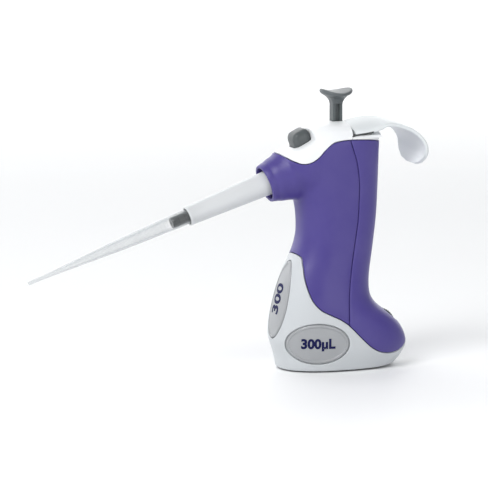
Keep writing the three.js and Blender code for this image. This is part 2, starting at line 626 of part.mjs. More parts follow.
// The bar behind the sleeve ends in a wedge that the knob's stem pushes forward
const WEDGE_LOW = 5.0;
const WEDGE_HIGH = 9.0;
const WEDGE_BACK = -21;
function lengthwise(outline, reach) {
  const shape = new THREE.Shape(outline.map(([along, up]) => new THREE.Vector2(up, -along)));
  const geometry = new THREE.ExtrudeGeometry(shape, { depth: 2 * reach, bevelEnabled: false });
  geometry.rotateX(-Math.PI / 2);
  geometry.translate(0, -reach, 0);
  return geometry;
}
addMesh('ejector_bar', lengthwise([
  [WEDGE_BACK, WEDGE_LOW], [SLEEVE_BACK - GAP, WEDGE_LOW], [SLEEVE_BACK - GAP, 6.8], [-15.4, 6.8],
  [-15.4, WEDGE_HIGH], [WEDGE_BACK + WEDGE_HIGH - WEDGE_LOW, WEDGE_HIGH],
], 1.5), 'acetal', nozzle);
const KNOB_STEM_FRONT = -17.5;
const KNOB_STEM_BACK = -24;
const wedgeGap = GAP * Math.SQRT2;
const knobStem = lengthwise([
  [KNOB_STEM_BACK, 5.2], [WEDGE_BACK - wedgeGap + 0.2, 5.2],
  [KNOB_STEM_FRONT, KNOB_STEM_FRONT - WEDGE_BACK + wedgeGap + WEDGE_LOW], [KNOB_STEM_FRONT, 14],
  [KNOB_STEM_BACK, 14],
], 1.5);
const knobSlope = toSolid(lengthwise([[-30, 18.3], [-14, 16.2], [-14, 30], [-30, 30]], 12));
const knob = toSolid(knobColumn(KNOB_SIDE, KNOB_CORNER, KNOB_BOTTOM, 19)).subtract(knobSlope)
  .add(toSolid(knobStem));
addMesh('ejector_knob', toGeometry(knob), 'charcoal', nozzle);

// ---------------------------------------------------------------- disposable tip
addMesh('pipette_tip', turned([
  [3.0, TIP_START], [3.38, TIP_START], [3.34, 47.8], [2.5, 77.6], [1.05, 106.3], [0.75, TIP_END],
  [0.4, TIP_END], [0.6, 106.3], [2.1, 77.6], [2.95, 47.8], [3.0, TIP_START],
], 24), 'clear', nozzle);

// ---------------------------------------------------------------- volume setting
const wheelShape = new THREE.Shape();
for (let i = 0; i < WHEEL_RIDGES * 2; i += 1) {
  const angle = Math.PI * i / WHEEL_RIDGES;
  const radius = i % 2 === 0 ? WHEEL_RADIUS : WHEEL_RADIUS - 0.5;
  const x = WHEEL_X + radius * Math.cos(angle);
  const z = WHEEL_Z + radius * Math.sin(angle);
  if (i === 0) wheelShape.moveTo(x, z);
  else wheelShape.lineTo(x, z);
}
const wheelBlank = new THREE.ExtrudeGeometry(wheelShape, { depth: WHEEL_WIDTH, bevelEnabled: false });
wheelBlank.rotateX(Math.PI / 2);
wheelBlank.translate(0, WHEEL_WIDTH / 2, 0);
const wheel = toSolid(wheelBlank).subtract(toSolid(pinAlongY(WHEEL_X, WHEEL_Z, PIN_RADIUS + 0.1, -9, 9, 16)));
addMesh('volume_wheel', toGeometry(wheel), 'charcoal');
addMesh('wheel_axle', pinAlongY(WHEEL_X, WHEEL_Z, PIN_RADIUS, -6.6, 6.6, 16), 'steel');

const screw = turned([
  [0, 10.4], [WORM_RADIUS, 10.4], [WORM_RADIUS, 23.4], [1.6, 23.4], [1.6, 62], [0, 62],
], 20);
screw.translate(SCREW_X, 0, 0);
addMesh('lead_screw', screw, 'acetal');

// The stop nut rides up the screw and its post limits how far the rocker can swing
const NUT_LOW = 44;
const nutBody = joined(
  box(SCREW_X - 3.2, SCREW_X + 3.2, -4.6, 4.6, NUT_LOW, NUT_LOW + 5),
  box(SCREW_X - 0.9, SCREW_X + 0.9, 2.6, 4.6, NUT_LOW, 68),
).subtract(toSolid(box(SCREW_X - 1.9, SCREW_X + 1.9, -1.9, 1.9, 30, 90)));
addMesh('stop_nut', toGeometry(nutBody), 'acetal');

export default group;
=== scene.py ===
import json
import math

import bmesh
import bpy
import numpy as np
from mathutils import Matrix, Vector


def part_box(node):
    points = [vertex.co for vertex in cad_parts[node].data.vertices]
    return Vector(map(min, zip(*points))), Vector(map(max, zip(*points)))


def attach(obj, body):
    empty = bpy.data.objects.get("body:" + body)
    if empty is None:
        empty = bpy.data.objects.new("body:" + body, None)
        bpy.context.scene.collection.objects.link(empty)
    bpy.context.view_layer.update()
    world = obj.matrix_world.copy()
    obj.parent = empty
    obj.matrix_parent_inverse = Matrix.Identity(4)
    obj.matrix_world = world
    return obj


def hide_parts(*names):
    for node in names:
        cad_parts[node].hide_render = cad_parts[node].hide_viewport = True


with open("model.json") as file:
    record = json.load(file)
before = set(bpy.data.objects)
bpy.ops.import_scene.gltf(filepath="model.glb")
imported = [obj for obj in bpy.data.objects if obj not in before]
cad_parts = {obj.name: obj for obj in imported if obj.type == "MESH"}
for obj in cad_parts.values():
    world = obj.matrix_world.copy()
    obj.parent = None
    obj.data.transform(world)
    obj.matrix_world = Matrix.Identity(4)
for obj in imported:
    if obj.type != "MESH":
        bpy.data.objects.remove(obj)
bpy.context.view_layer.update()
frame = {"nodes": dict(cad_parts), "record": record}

# ------------------------------------------------------------------ studio
# A white floor and a glowing white wall under a soft sky, lit by soft boxes: a large one at the upper left,
# a weak one in front and one behind. The camera stands well back and has a long lens.
MM = 0.001
LOOK_AT = Vector((-0.0452, 0.0, 0.0583))
CAMERA_AZIMUTH = math.radians(-21.0)
CAMERA_ELEVATION = math.radians(8.6)
CAMERA_DISTANCE = 2.2
FRAME_WIDTH = 0.2198
SENSOR = 36.0
SKY_STRENGTH = 0.44
GLOW_NEAR = 0.02
GLOW_FAR = 0.6
GLOW_START = 0.45
GLOW_END = 1.6

camera_data = bpy.data.cameras.new("camera")
camera_data.sensor_width = SENSOR
camera_data.lens = SENSOR * CAMERA_DISTANCE / FRAME_WIDTH
camera_data.clip_end = 50.0
camera = bpy.data.objects.new("camera", camera_data)
camera_back = Vector((
    math.sin(CAMERA_AZIMUTH) * math.cos(CAMERA_ELEVATION),
    -math.cos(CAMERA_AZIMUTH) * math.cos(CAMERA_ELEVATION),
    math.sin(CAMERA_ELEVATION),
))
camera.location = LOOK_AT + camera_back * CAMERA_DISTANCE
camera.rotation_euler = camera_back.to_track_quat("Z", "Y").to_euler()
bpy.context.scene.collection.objects.link(camera)
bpy.context.scene.camera = camera
bpy.context.scene.view_settings.view_transform = "Standard"


def soft_box(name, place, size, watts):
    light = bpy.data.lights.new(name, "AREA")
    light.shape = "RECTANGLE"
    light.size, light.size_y = size
    light.energy = watts
    lamp = bpy.data.objects.new(name, light)
    lamp.location = place
    lamp.rotation_euler = (Vector(place) - LOOK_AT).to_track_quat("Z", "Y").to_euler()
    bpy.context.scene.collection.objects.link(lamp)


soft_box("key_box", (-0.62, -0.42, 0.72), (0.45, 0.5), 6.0)
soft_box("front_box", (0.3, -0.95, 0.3), (0.5, 0.4), 1.5)
soft_box("back_box", (-0.1, 0.7, 0.7), (0.8, 0.4), 1.0)

sky = bpy.data.worlds.new("sky")
sky.use_nodes = True
sky.node_tree.nodes["Background"].inputs["Color"].default_value = (0.97, 0.985, 1.0, 1.0)
sky.node_tree.nodes["Background"].inputs["Strength"].default_value = SKY_STRENGTH
bpy.context.scene.world = sky


class Wire:
    """One socket of a finish. Arithmetic on it adds Math nodes; any other node comes from node()."""

    def __init__(self, tree, socket=None):
        self.tree = tree
        self.socket = socket

    def node(self, kind, settings=None, inputs=None, output=0):
        made = self.tree.nodes.new(kind)
        for key, value in (settings or {}).items():
            setattr(made, key, value)
        for key, value in (inputs or {}).items():
            if isinstance(value, Wire):
                self.tree.links.new(value.socket, made.inputs[key])
            else:
                made.inputs[key].default_value = value
        return Wire(self.tree, made.outputs[output])

    def math(self, operation, *values):
        return self.node("ShaderNodeMath", {"operation": operation}, dict(enumerate(values)))

    def __add__(self, other):
        return self.math("ADD", self, other)

    def __sub__(self, other):
        return self.math("SUBTRACT", self, other)

    def __rsub__(self, other):
        return self.math("SUBTRACT", other, self)

    def __mul__(self, other):
        return self.math("MULTIPLY", self, other)

    def __pow__(self, other):
        return self.math("POWER", self, other)

    __radd__ = __add__
    __rmul__ = __mul__

    def between(self, low, high):
        """0 below low, 1 above high, smooth between."""
        return self.node(
            "ShaderNodeMapRange", {"interpolation_type": "SMOOTHSTEP"},
            {"Value": self, "From Min": low, "From Max": high, "To Min": 0.0, "To Max": 1.0},
        )


def blank_finish(name):
    finish = bpy.data.materials.new(name)
    finish.use_nodes = True
    shader = finish.node_tree.nodes["Principled BSDF"]
    return finish, shader, Wire(finish.node_tree)


def feed(shader, name, value):
    shader.id_data.links.new(value.socket, shader.inputs[name])


for sheet_name, corners in [
    ("floor", [(-6, -3, 0), (6, -3, 0), (6, 5, 0), (-6, 5, 0)]),
    ("wall", [(-6, 4, -1), (6, 4, -1), (6, 4, 5), (-6, 4, 5)]),
]:
    sheet_finish, sheet_shader, sheet_start = blank_finish(sheet_name)
    sheet_shader.inputs["Emission Color"].default_value = (1.0, 1.0, 1.0, 1.0)
    if sheet_name == "floor":
        away = sheet_start.node("ShaderNodeVectorMath", {"operation": "LENGTH"}, {
            0: sheet_start.node("ShaderNodeTexCoord", output=3)}, output=1)
        glow = GLOW_NEAR + (GLOW_FAR - GLOW_NEAR) * away.between(GLOW_START, GLOW_END)
        feed(sheet_shader, "Emission Color", sheet_start.node(
            "ShaderNodeCombineXYZ", {}, {"X": glow, "Y": glow, "Z": glow}))
    sheet_shader.inputs["Base Color"].default_value = (0.9, 0.905, 0.91, 1.0)
    sheet_shader.inputs["Roughness"].default_value = 0.6
    sheet_shader.inputs["Emission Strength"].default_value = 1.0
    sheet_mesh = bpy.data.meshes.new(sheet_name)
    sheet_mesh.from_pydata(corners, [], [(0, 1, 2, 3)])
    sheet_mesh.materials.append(sheet_finish)
    sheet = bpy.data.objects.new(sheet_name, sheet_mesh)
    bpy.context.scene.collection.objects.link(sheet)

# ------------------------------------------------------------------ base skirt
# The grey-white moulding that the pipette stands in. It follows the body's rounded sections, sweeps up
# the prow as a tongue, and has pockets for three inlaid plates. Its edges are rounded and turned in.
BODY_SECTIONS = np.array([
    # height, front x, rear x, half width
    [0.5, -28.4, 25.2, 17.4], [3.0, -28.9, 27.9, 18.3], [6.5, -29.5, 30.6, 19.4], [10.0, -30.6, 32.2, 20.0],
    [14.0, -31.9, 31.5, 20.2], [19.0, -31.9, 28.9, 20.1], [24.0, -31.2, 23.9, 19.6],
    [28.0, -30.3, 18.2, 19.1], [32.0, -29.3, 14.8, 18.5], [38.0, -27.7, 13.7, 17.4],
    [45.0, -25.2, 14.2, 16.2], [52.0, -21.8, 15.3, 15.3], [60.0, -19.2, 16.4, 14.8],
    [68.0, -18.9, 17.4, 14.6], [76.0, -20.0, 18.0, 14.5], [84.0, -22.6, 18.4, 14.5],
    [92.0, -26.0, 18.8, 14.4], [98.6, -29.6, 19.1, 14.2], [100.4, -29.2, 19.2, 14.1],
    [104.0, -23.6, 19.2, 13.8], [107.4, -18.3, 18.8, 12.9], [109.8, -14.5, 17.0, 11.2],
    [111.3, -11.6, 13.0, 8.6], [112.0, -8.2, 7.0, 5.6], [112.25, -5.6, 4.4, 3.8],
    [112.4, -2.6, 1.4, 1.6], [112.44, -0.9, -0.3, 0.3],
])
SQUARENESS = 2.4
SHELL_WALL = 1.6
SEAM_HALF_GAP = 0.15
SKIRT_LINE = [
    (-45, 57), (-22, 53.4), (-20.7, 52.2), (-20.7, 49), (-20.8, 42.6), (-19.8, 37.1), (-18.1, 32.6),
    (-14.9, 28.9), (-10.3, 26.4), (-5.6, 24.1), (-2, 21.6), (1.6, 18), (6, 13.6), (9.8, 10.4),
    (13.8, 8.3), (18.8, 7.3), (23.3, 7.5), (27.3, 8.8), (31, 11.2), (40, 18),
]
LIP = [(0.0, 1.6), (0.0, 0.42), (0.06, 0.2), (0.18, 0.05), (0.4, 0.0)]
COLUMNS = 220
NOZZLE_DIRECTION = np.array([-0.94438, 0.0, -0.32887])
NOZZLE_UP = np.array([-0.32887, 0.0, 0.94438])
NOSE_RIM = np.array([-35.3, 0.0, 85.1])
NOSE_ROOT_BACK = 30.0
NOSE_SAG = 0.8
NOSE_FILLET = 3.0
NOSE_PROFILE = np.array([[-0.8, 8.75], [-5.0, 10.08], [-11.0, 11.75], [-18.0, 12.6],
                         [-22.0, 12.3], [-26.0, 10.6], [-30.0, 7.5]])
SEAT_FRONT = np.array([-21.6, 0.0, 101.6])
SEAT_SLOPE = math.radians(27.0)
SEAT_WAY = np.array([math.cos(SEAT_SLOPE), 0.0, math.sin(SEAT_SLOPE)])
SEAT_OUT = np.array([-math.sin(SEAT_SLOPE), 0.0, math.cos(SEAT_SLOPE)])
SEAT_SOFTNESS = 1.6
FOOT_HEIGHT = 0.5
CROWN_HEIGHT = 112.44
BOTTOM_EDGE = [(0.0, 1.6), (0.0, 0.9), (0.12, 0.42), (0.42, 0.12), (0.95, 0.0)]


def noise(start, place, scale, detail=3.0, roughness=0.5):
    return start.node(
        "ShaderNodeTexNoise", {},
        {"Vector": place, "Scale": scale, "Detail": detail, "Roughness": roughness},
    )


def moulded(name, colour, gloss, grain, tint=0.05, coat=0.0, scuffs=0.05):
    """Moulded plastic: faint mottling of the pigment, spark-eroded grain, and fine scuffs from handling."""
    finish, shader, start = blank_finish(name)
    place = start.node("ShaderNodeTexCoord", output=3)
    cloud = noise(start, place, 60.0)
    speck = noise(start, place, 2600.0, 2.0, 0.6)
    stretched = start.node("ShaderNodeMapping", {}, {"Vector": place, "Scale": (900.0, 900.0, 90.0)})
    scratch = noise(start, stretched, 1.0, 4.0, 0.7).between(0.62, 0.78)
    darker = tuple(c * (1.0 - tint) for c in colour)
    lighter = tuple(min(1.0, c + (1.0 - c) * tint * 0.6) for c in colour)
    mottled = start.node("ShaderNodeMix", {"data_type": "RGBA"}, {
        "Factor": cloud, 6: (*darker, 1.0), 7: (*lighter, 1.0),
    }, output=2)
    worn = start.node("ShaderNodeMix", {"data_type": "RGBA"}, {
        "Factor": scratch * scuffs, 6: mottled, 7: (*(min(1.0, c + 0.25) for c in colour), 1.0),
    }, output=2)
    feed(shader, "Base Color", worn)
    feed(shader, "Roughness", gloss + 0.10 * (cloud - 0.5) + 0.12 * (speck - 0.5) + 0.15 * scratch)
    bump = start.node("ShaderNodeBump", {}, {
        "Strength": 0.35, "Distance": grain * MM, "Height": speck - 0.4 * scratch,
    })
    feed(shader, "Normal", bump)
    shader.inputs["Specular IOR Level"].default_value = 0.3
    shader.inputs["Coat Weight"].default_value = coat
    shader.inputs["Coat Roughness"].default_value = 0.15
    return finish


def flow(knots, values, at):
    """Smooth curve through (knots, values), read at the given places."""
    knots, values = np.asarray(knots, float), np.asarray(values, float)
    slopes = np.gradient(values, knots, edge_order=1)
    at = np.clip(at, knots[0], knots[-1])
    i = np.clip(np.searchsorted(knots, at, side="right") - 1, 0, len(knots) - 2)
    step = knots[i + 1] - knots[i]
    t = (at - knots[i]) / step
    return ((1 + 2 * t) * (1 - t) ** 2 * values[i] + t * (1 - t) ** 2 * step * slopes[i]
            + t * t * (3 - 2 * t) * values[i + 1] + t * t * (t - 1) * step * slopes[i + 1])


def body_section(z):
    """Centre, half length and half width of the body at height z, faired over a couple of millimetres."""
    reach = np.clip((99.0 - z) / 8.0, 0.12, 1.0) * np.clip(z / 4.0, 0.1, 1.0)
    reach = reach * np.clip(112.4 - z, 0.0, 1.0)
    rows = []
    for column in (1, 2, 3):
        total = 0.0
        for offset, weight in ((-2.4, 1), (-1.2, 4), (0.0, 6), (1.2, 4), (2.4, 1)):
            total = total + weight * flow(BODY_SECTIONS[:, 0], BODY_SECTIONS[:, column], z + offset * reach)
        rows.append(total / 16.0)
    front, rear, half = rows
    return (front + rear) / 2, (rear - front) / 2, half


def with_nose(points):
    """Pushes the skin out along rays from inside the head until it meets the nozzle's round nose."""
    root = NOSE_RIM - NOZZLE_DIRECTION * NOSE_ROOT_BACK - NOZZLE_UP * NOSE_SAG
    ray = points - root
    reach = np.linalg.norm(ray, axis=-1)
    along = np.maximum(ray @ NOZZLE_DIRECTION, 1e-3)
    rise = ray @ NOZZLE_UP - NOSE_SAG / NOSE_ROOT_BACK * along
    narrowness = along / np.maximum(np.hypot(rise, ray[..., 1]), 1e-6)
    ahead, radius = NOSE_PROFILE[::-1].T
    at = np.interp(narrowness, (ahead + NOSE_ROOT_BACK) / radius, ahead + NOSE_ROOT_BACK)
    nose = np.where(ray @ NOZZLE_DIRECTION > 0.05, reach * at / along, 0.0)
    blend = np.maximum(NOSE_FILLET - np.abs(nose - reach), 0.0) / NOSE_FILLET
    wanted = np.maximum(nose, reach) + blend * blend * NOSE_FILLET / 4
    return root + ray * (wanted / reach)[..., None]


def ease(value, low, high):
    t = np.clip((value - low) / (high - low), 0.0, 1.0)
    return t * t * (3 - 2 * t)


def with_seat(points):
    """Lowers the brow of the cap to a sloping shelf for the ejector knob, with a step up behind it."""
    offset = points - SEAT_FRONT
    rise, along = offset @ SEAT_OUT, offset @ SEAT_WAY
    drop = (rise + np.sqrt(rise * rise + SEAT_SOFTNESS ** 2)) / 2
    reach = ease(along, -9.5, -4.0) * (1 - ease(along, 7.6, 9.8))
    return points - (drop * reach)[..., None] * SEAT_OUT


def skin(angle, z):
    """A point of the body's outer skin, in millimetres."""
    centre, length, width = body_section(z)
    c, s = np.cos(angle), np.sin(angle)
    x = centre + length * np.sign(c) * np.abs(c) ** (2 / SQUARENESS)
    y = width * np.sign(s) * np.abs(s) ** (2 / SQUARENESS)
    return with_seat(with_nose(np.stack(np.broadcast_arrays(x, y, z), axis=-1).astype(float)))


def skin_normal(angle, z):
    turn, rise = 0.012, 0.25
    low, high = np.maximum(z - rise, FOOT_HEIGHT), np.minimum(z + rise, CROWN_HEIGHT)
    round_way = skin(angle + turn, z) - skin(angle - turn, z)
    up_way = skin(angle, high) - skin(angle, low)
    normal = np.cross(round_way, up_way)
    return normal / np.maximum(np.linalg.norm(normal, axis=-1), 1e-9)[..., None]


def faired(line, count=160):
    """A smooth side-view line through its points."""
    line = np.asarray(line, float)
    length = np.concatenate([[0.0], np.cumsum(np.hypot(*np.diff(line, axis=0).T))])
    at = np.linspace(0.0, length[-1], count)
    return np.stack([flow(length, line[:, 0], at), flow(length, line[:, 1], at)], axis=-1)


SAMPLE_ANGLES = np.linspace(0.0, math.pi, 181)
SAMPLE_HEIGHTS = np.linspace(0.5, 112.4, 420)


def side_distance(line):
    """How far each sampled point of the skin lies above a side-view line, negative below it."""
    points = skin(SAMPLE_ANGLES[:, None], SAMPLE_HEIGHTS[None, :])[..., [0, 2]].reshape(-1, 2)
    curve = faired(line)
    best = np.full(len(points), 1e9)
    signed = np.zeros(len(points))
    for start, end in zip(curve[:-1], curve[1:]):
        way = end - start
        t = np.clip((points - start) @ way / (way @ way), 0.0, 1.0)
        gap = points - start - t[:, None] * way
        distance = np.hypot(*gap.T)
        nearer = distance < best
        best[nearer] = distance[nearer]
        signed[nearer] = (distance * np.sign(way[0] * gap[:, 1] - way[1] * gap[:, 0]))[nearer]
    return signed.reshape(len(SAMPLE_ANGLES), len(SAMPLE_HEIGHTS))


def crossing(distances, level):
    """For each sampled angle, the height where the skin first rises past a level over a line."""
    heights = []
    for column in distances:
        first = int(np.argmax(column > level))
        low, high = column[first - 1], column[first]
        t = (level - low) / (high - low)
        heights.append(SAMPLE_HEIGHTS[first - 1] + t * (SAMPLE_HEIGHTS[first] - SAMPLE_HEIGHTS[first - 1]))
    return np.array(heights)


def read_round(heights, angle):
    """Reads sampled heights at any angle; the body is the same on both sides."""
    folded = np.abs((angle + math.pi) % (2 * math.pi) - math.pi)
    return np.interp(folded, SAMPLE_ANGLES, heights)


def grid_faces(rows, columns, closed, start=0):
    faces = []
    for i in range(rows - 1):
        for j in range(columns if closed else columns - 1):
            k = (j + 1) % columns
            faces.append((start + i * columns + j, start + i * columns + k,
                          start + (i + 1) * columns + k, start + (i + 1) * columns + j))
    return faces


def as_object(name, points, faces, sharp=40.0):
    """A mesh object from points in millimetres."""
    mesh = bpy.data.meshes.new(name)
    mesh.from_pydata((np.asarray(points) * MM).tolist(), [], faces)
    work = bmesh.new()
    work.from_mesh(mesh)
    bmesh.ops.remove_doubles(work, verts=work.verts, dist=2e-6)
    bmesh.ops.dissolve_degenerate(work, edges=work.edges, dist=1e-7)
    bmesh.ops.holes_fill(work, edges=[edge for edge in work.edges if edge.is_boundary])
    bmesh.ops.recalc_face_normals(work, faces=work.faces)
    work.to_mesh(mesh)
    work.free()
    mesh.shade_smooth()
    mesh.set_sharp_from_angle(angle=math.radians(sharp))
    made = bpy.data.objects.new(name, mesh)
    bpy.context.scene.collection.objects.link(made)
    return made


def closed_shell(name, angle, height, depth, closed):
    """A panel with a wall: its outer face, lips turned in at every free edge, and its inner face."""
    outward = skin_normal(angle, height)
    base = skin(angle, height)
    outer = base - outward * depth[..., None]
    inner = base - outward * np.maximum(depth, SHELL_WALL)[..., None]
    rows, columns = height.shape
    points = np.concatenate([outer.reshape(-1, 3), inner.reshape(-1, 3)])
    faces = grid_faces(rows, columns, closed)
    back = [face[::-1] for face in grid_faces(rows, columns, closed, rows * columns)]
    return as_object(name, points, faces + back)


def shape_with(target, operation, tool):
    """Cuts or joins a tool piece, then removes the tool."""
    step = target.modifiers.new("step", "BOOLEAN")
    step.operation = operation
    step.solver = "MANIFOLD"
    step.object = tool
    graph = bpy.context.evaluated_depsgraph_get()
    shaped = bpy.data.meshes.new_from_object(target.evaluated_get(graph))
    target.modifiers.clear()
    target.data = shaped
    target.data.shade_smooth()
    target.data.set_sharp_from_angle(angle=math.radians(35.0))
    bpy.data.objects.remove(tool)


def dressed(piece, finish, body, slot, *nodes):
    piece.data.materials.clear()
    piece.data.materials.append(finish)
    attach(piece, body)
    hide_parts(*nodes)


skirt_over = side_distance(SKIRT_LINE)
round_angles = np.linspace(0.0, 2 * math.pi, COLUMNS, endpoint=False)
skirt_rows, skirt_depths = [], []
for offset, depth in BOTTOM_EDGE:
    skirt_rows.append(np.full(COLUMNS, FOOT_HEIGHT + offset))
    skirt_depths.append(depth)
skirt_top = read_round(crossing(skirt_over, -SEAM_HALF_GAP - LIP[-1][0]), round_angles)
for t in np.linspace(0.0, 1.0, 56)[1:-1]:
    skirt_rows.append(skirt_rows[4] + (skirt_top - skirt_rows[4]) * t)
    skirt_depths.append(0.0)
for offset, depth in LIP[::-1]:
    skirt_rows.append(read_round(crossing(skirt_over, -SEAM_HALF_GAP - offset), round_angles))
    skirt_depths.append(depth)
skirt_heights = np.stack(skirt_rows)
base_skirt = closed_shell(
    "base_skirt_moulding", np.broadcast_to(round_angles, skirt_heights.shape), skirt_heights,
    np.broadcast_to(np.array(skirt_depths)[:, None], skirt_heights.shape), True,
)
base_finish = moulded("base_plastic", (0.57, 0.595, 0.615), 0.42, 0.02, tint=0.03, scuffs=0.08)

# ------------------------------------------------------------------ inlaid plates
# Thin lacquered aluminium inlays in pockets of the skirt: a tall leaf on the prow and an oval on each
# side. Each is pressed to the curve of the moulding and glued in, with a fine shadow gap round it.
PLATES = [
    ("front_plate", "leaf", 8.6, 35.5, (-0.985, 0.0, 0.17), (-20.0, 0.0, 30.8)),
    ("volume_plate_left", "oval", 14.2, 18.0, (-0.27, -0.963, 0.0), (-12.4, -4.0, 13.4)),
    ("volume_plate_right", "oval", 14.2, 18.0, (-0.27, 0.963, 0.0), (-12.4, 4.0, 13.4)),
]
PLATE_POINTS = 72
LEAF_TAPER = 0.16
INWARD = (0.02, 0.25, 0.5, 0.75)
POCKET = [(share, 0.0, -1.05) for share in INWARD] + [
    (1.0, 0.42, -1.05), (1.0, 0.42, -0.4), (1.0, 0.46, -0.2), (1.0, 0.6, -0.05), (1.0, 0.85, 0.03),
    (1.0, 1.2, 0.5), (1.0, 1.3, 7.0),
]
INLAY = [(share, 0.0, -0.75) for share in INWARD] + [
    (1.0, 0.0, -0.75), (1.0, 0.0, -0.3), (1.0, -0.07, -0.12), (1.0, -0.28, 0.02), (1.0, -0.7, 0.1),
    (1.0, -1.05, 0.02), (1.0, -1.3, -0.26), (1.0, -1.6, -0.34),
] + [(share, 0.0, -0.32) for share in INWARD[::-1]]


def on_skin(starts, direction):
    """Where rays from inside the body leave its sections."""
    near, far = np.zeros(len(starts)), np.full(len(starts), 45.0)
    for _ in range(34):
        middle = (near + far) / 2
        point = starts + direction * middle[:, None]
        centre, length, width = body_section(np.clip(point[:, 2], 0.5, 112.0))
        level = (np.abs(point[:, 0] - centre) / length) ** SQUARENESS \
            + (np.abs(point[:, 1]) / width) ** SQUARENESS
        near, far = np.where(level < 1, middle, near), np.where(level < 1, far, middle)
    return starts + direction * near[:, None]


def plate_axes(toward):
    outward = np.array(toward) / np.linalg.norm(toward)
    across = np.cross((0.0, 0.0, 1.0), outward)
    across /= np.linalg.norm(across)
    return outward, across, np.cross(outward, across)


def plate_ring(form, half, tall, share, grow):
    turn = np.linspace(0.0, 2 * math.pi, PLATE_POINTS, endpoint=False)
    taper = 1 - LEAF_TAPER * np.sin(turn) if form == "leaf" else 1.0
    across = half * taper * share * np.cos(turn) + np.cos(turn) * grow
    return across, (tall / 2 * share + grow) * np.sin(turn)


def pressed_form(name, plate, profile):
    """Rings that follow the skin, from (share of the outline, growth, height over the skin)."""
    _, form, half, tall, toward, centre = plate
    outward, across, up = plate_axes(toward)
    rings = []
    for share, grow, lift in profile:
        right, high = plate_ring(form, half, tall, share, grow)
        starts = np.array(centre) + right[:, None] * across + high[:, None] * up
        rings.append(on_skin(starts, outward) + outward * lift)
    points = np.concatenate(rings)
    faces = grid_faces(len(rings), PLATE_POINTS, True)
    faces.append(tuple(range(PLATE_POINTS))[::-1])
    faces.append(tuple(len(points) - PLATE_POINTS + i for i in range(PLATE_POINTS)))
    return as_object(name, points, faces, sharp=30.0)


plate_finish, plate_shader, plate_start = blank_finish("brushed_plate")
plate_place = plate_start.node("ShaderNodeTexCoord", output=3)
brush_lines = noise(plate_start, plate_start.node(
    "ShaderNodeMapping", {}, {"Vector": plate_place, "Scale": (420.0, 420.0, 9000.0)}), 1.0, 5.0, 0.7)
plate_cloud = noise(plate_start, plate_place, 120.0)
feed(plate_shader, "Base Color", plate_start.node("ShaderNodeMix", {"data_type": "RGBA"}, {
    "Factor": 0.7 * brush_lines + 0.3 * plate_cloud,
    6: (0.32, 0.33, 0.345, 1.0), 7: (0.43, 0.44, 0.455, 1.0),
}, output=2))
feed(plate_shader, "Roughness", 0.42 + 0.2 * brush_lines)
feed(plate_shader, "Normal", plate_start.node(
    "ShaderNodeBump", {}, {"Strength": 0.25, "Distance": 0.02 * MM, "Height": brush_lines}))
plate_shader.inputs["Metallic"].default_value = 0.3
plate_shader.inputs["Coat Weight"].default_value = 0.15

for plate in PLATES:
    shape_with(base_skirt, "DIFFERENCE", pressed_form("pocket", plate, POCKET))
    inlay = pressed_form(plate[0] + "_inlay", plate, INLAY)
    dressed(inlay, plate_finish, "body", "silver_plate", plate[0])
dressed(base_skirt, base_finish, "body", "base_plastic", "base_skirt")

# ------------------------------------------------------------------ volume numbers
# The nominal volume, pad-printed in dark blue on the two oval plates: a film of ink a few hundredths of
# a millimetre thick that follows the plate.
SIDE_SIZE = 6.1
FRONT_SIZE = 9.6
INK_LIFT = -0.27
INK_THICKNESS = 0.03
STROKE_SPREAD = 0.27
ink_finish, ink_shader, ink_start = blank_finish("navy_ink")
ink_patch = noise(ink_start, ink_start.node("ShaderNodeTexCoord", output=3), 1500.0)
feed(ink_shader, "Base Color", ink_start.node("ShaderNodeMix", {"data_type": "RGBA"}, {
    "Factor": ink_patch, 6: (0.006, 0.007, 0.055, 1.0), 7: (0.012, 0.014, 0.08, 1.0)}, output=2))
feed(ink_shader, "Roughness", 0.5 + 0.15 * ink_patch)
ink_shader.inputs["Specular IOR Level"].default_value = 0.15

for plate, words, size, upright in [
    (PLATES[0], "300", FRONT_SIZE, False),
    (PLATES[1], "300µL", SIDE_SIZE, True),
    (PLATES[2], "300µL", SIDE_SIZE, True),
]:
    outward, across, up = plate_axes(plate[4])
    along, rising = (across, up) if upright else (up, -across)
    lettering = bpy.data.curves.new("volume_number", "FONT")
    lettering.body = words
    lettering.size = size
    lettering.align_x = "CENTER"
    lettering.align_y = "CENTER"
    lettering.extrude = INK_THICKNESS
    lettering.offset = STROKE_SPREAD
    lettering.resolution_u = 4
    writing = bpy.data.objects.new("writing", lettering)
    bpy.context.scene.collection.objects.link(writing)
    flat = bpy.data.meshes.new_from_object(writing.evaluated_get(bpy.context.evaluated_depsgraph_get()))
    bpy.data.objects.remove(writing)
    letters = np.array([vertex.co for vertex in flat.vertices])
    starts = np.array(plate[5]) + letters[:, :1] * along + letters[:, 1:2] * rising
    printed = on_skin(starts, outward) + outward * (INK_LIFT + letters[:, 2:3])
    number = as_object(plate[0] + "_number", printed, [tuple(p.vertices) for p in flat.polygons])
    bpy.data.meshes.remove(flat)
    number.data.materials.append(ink_finish)
    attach(number, "body")

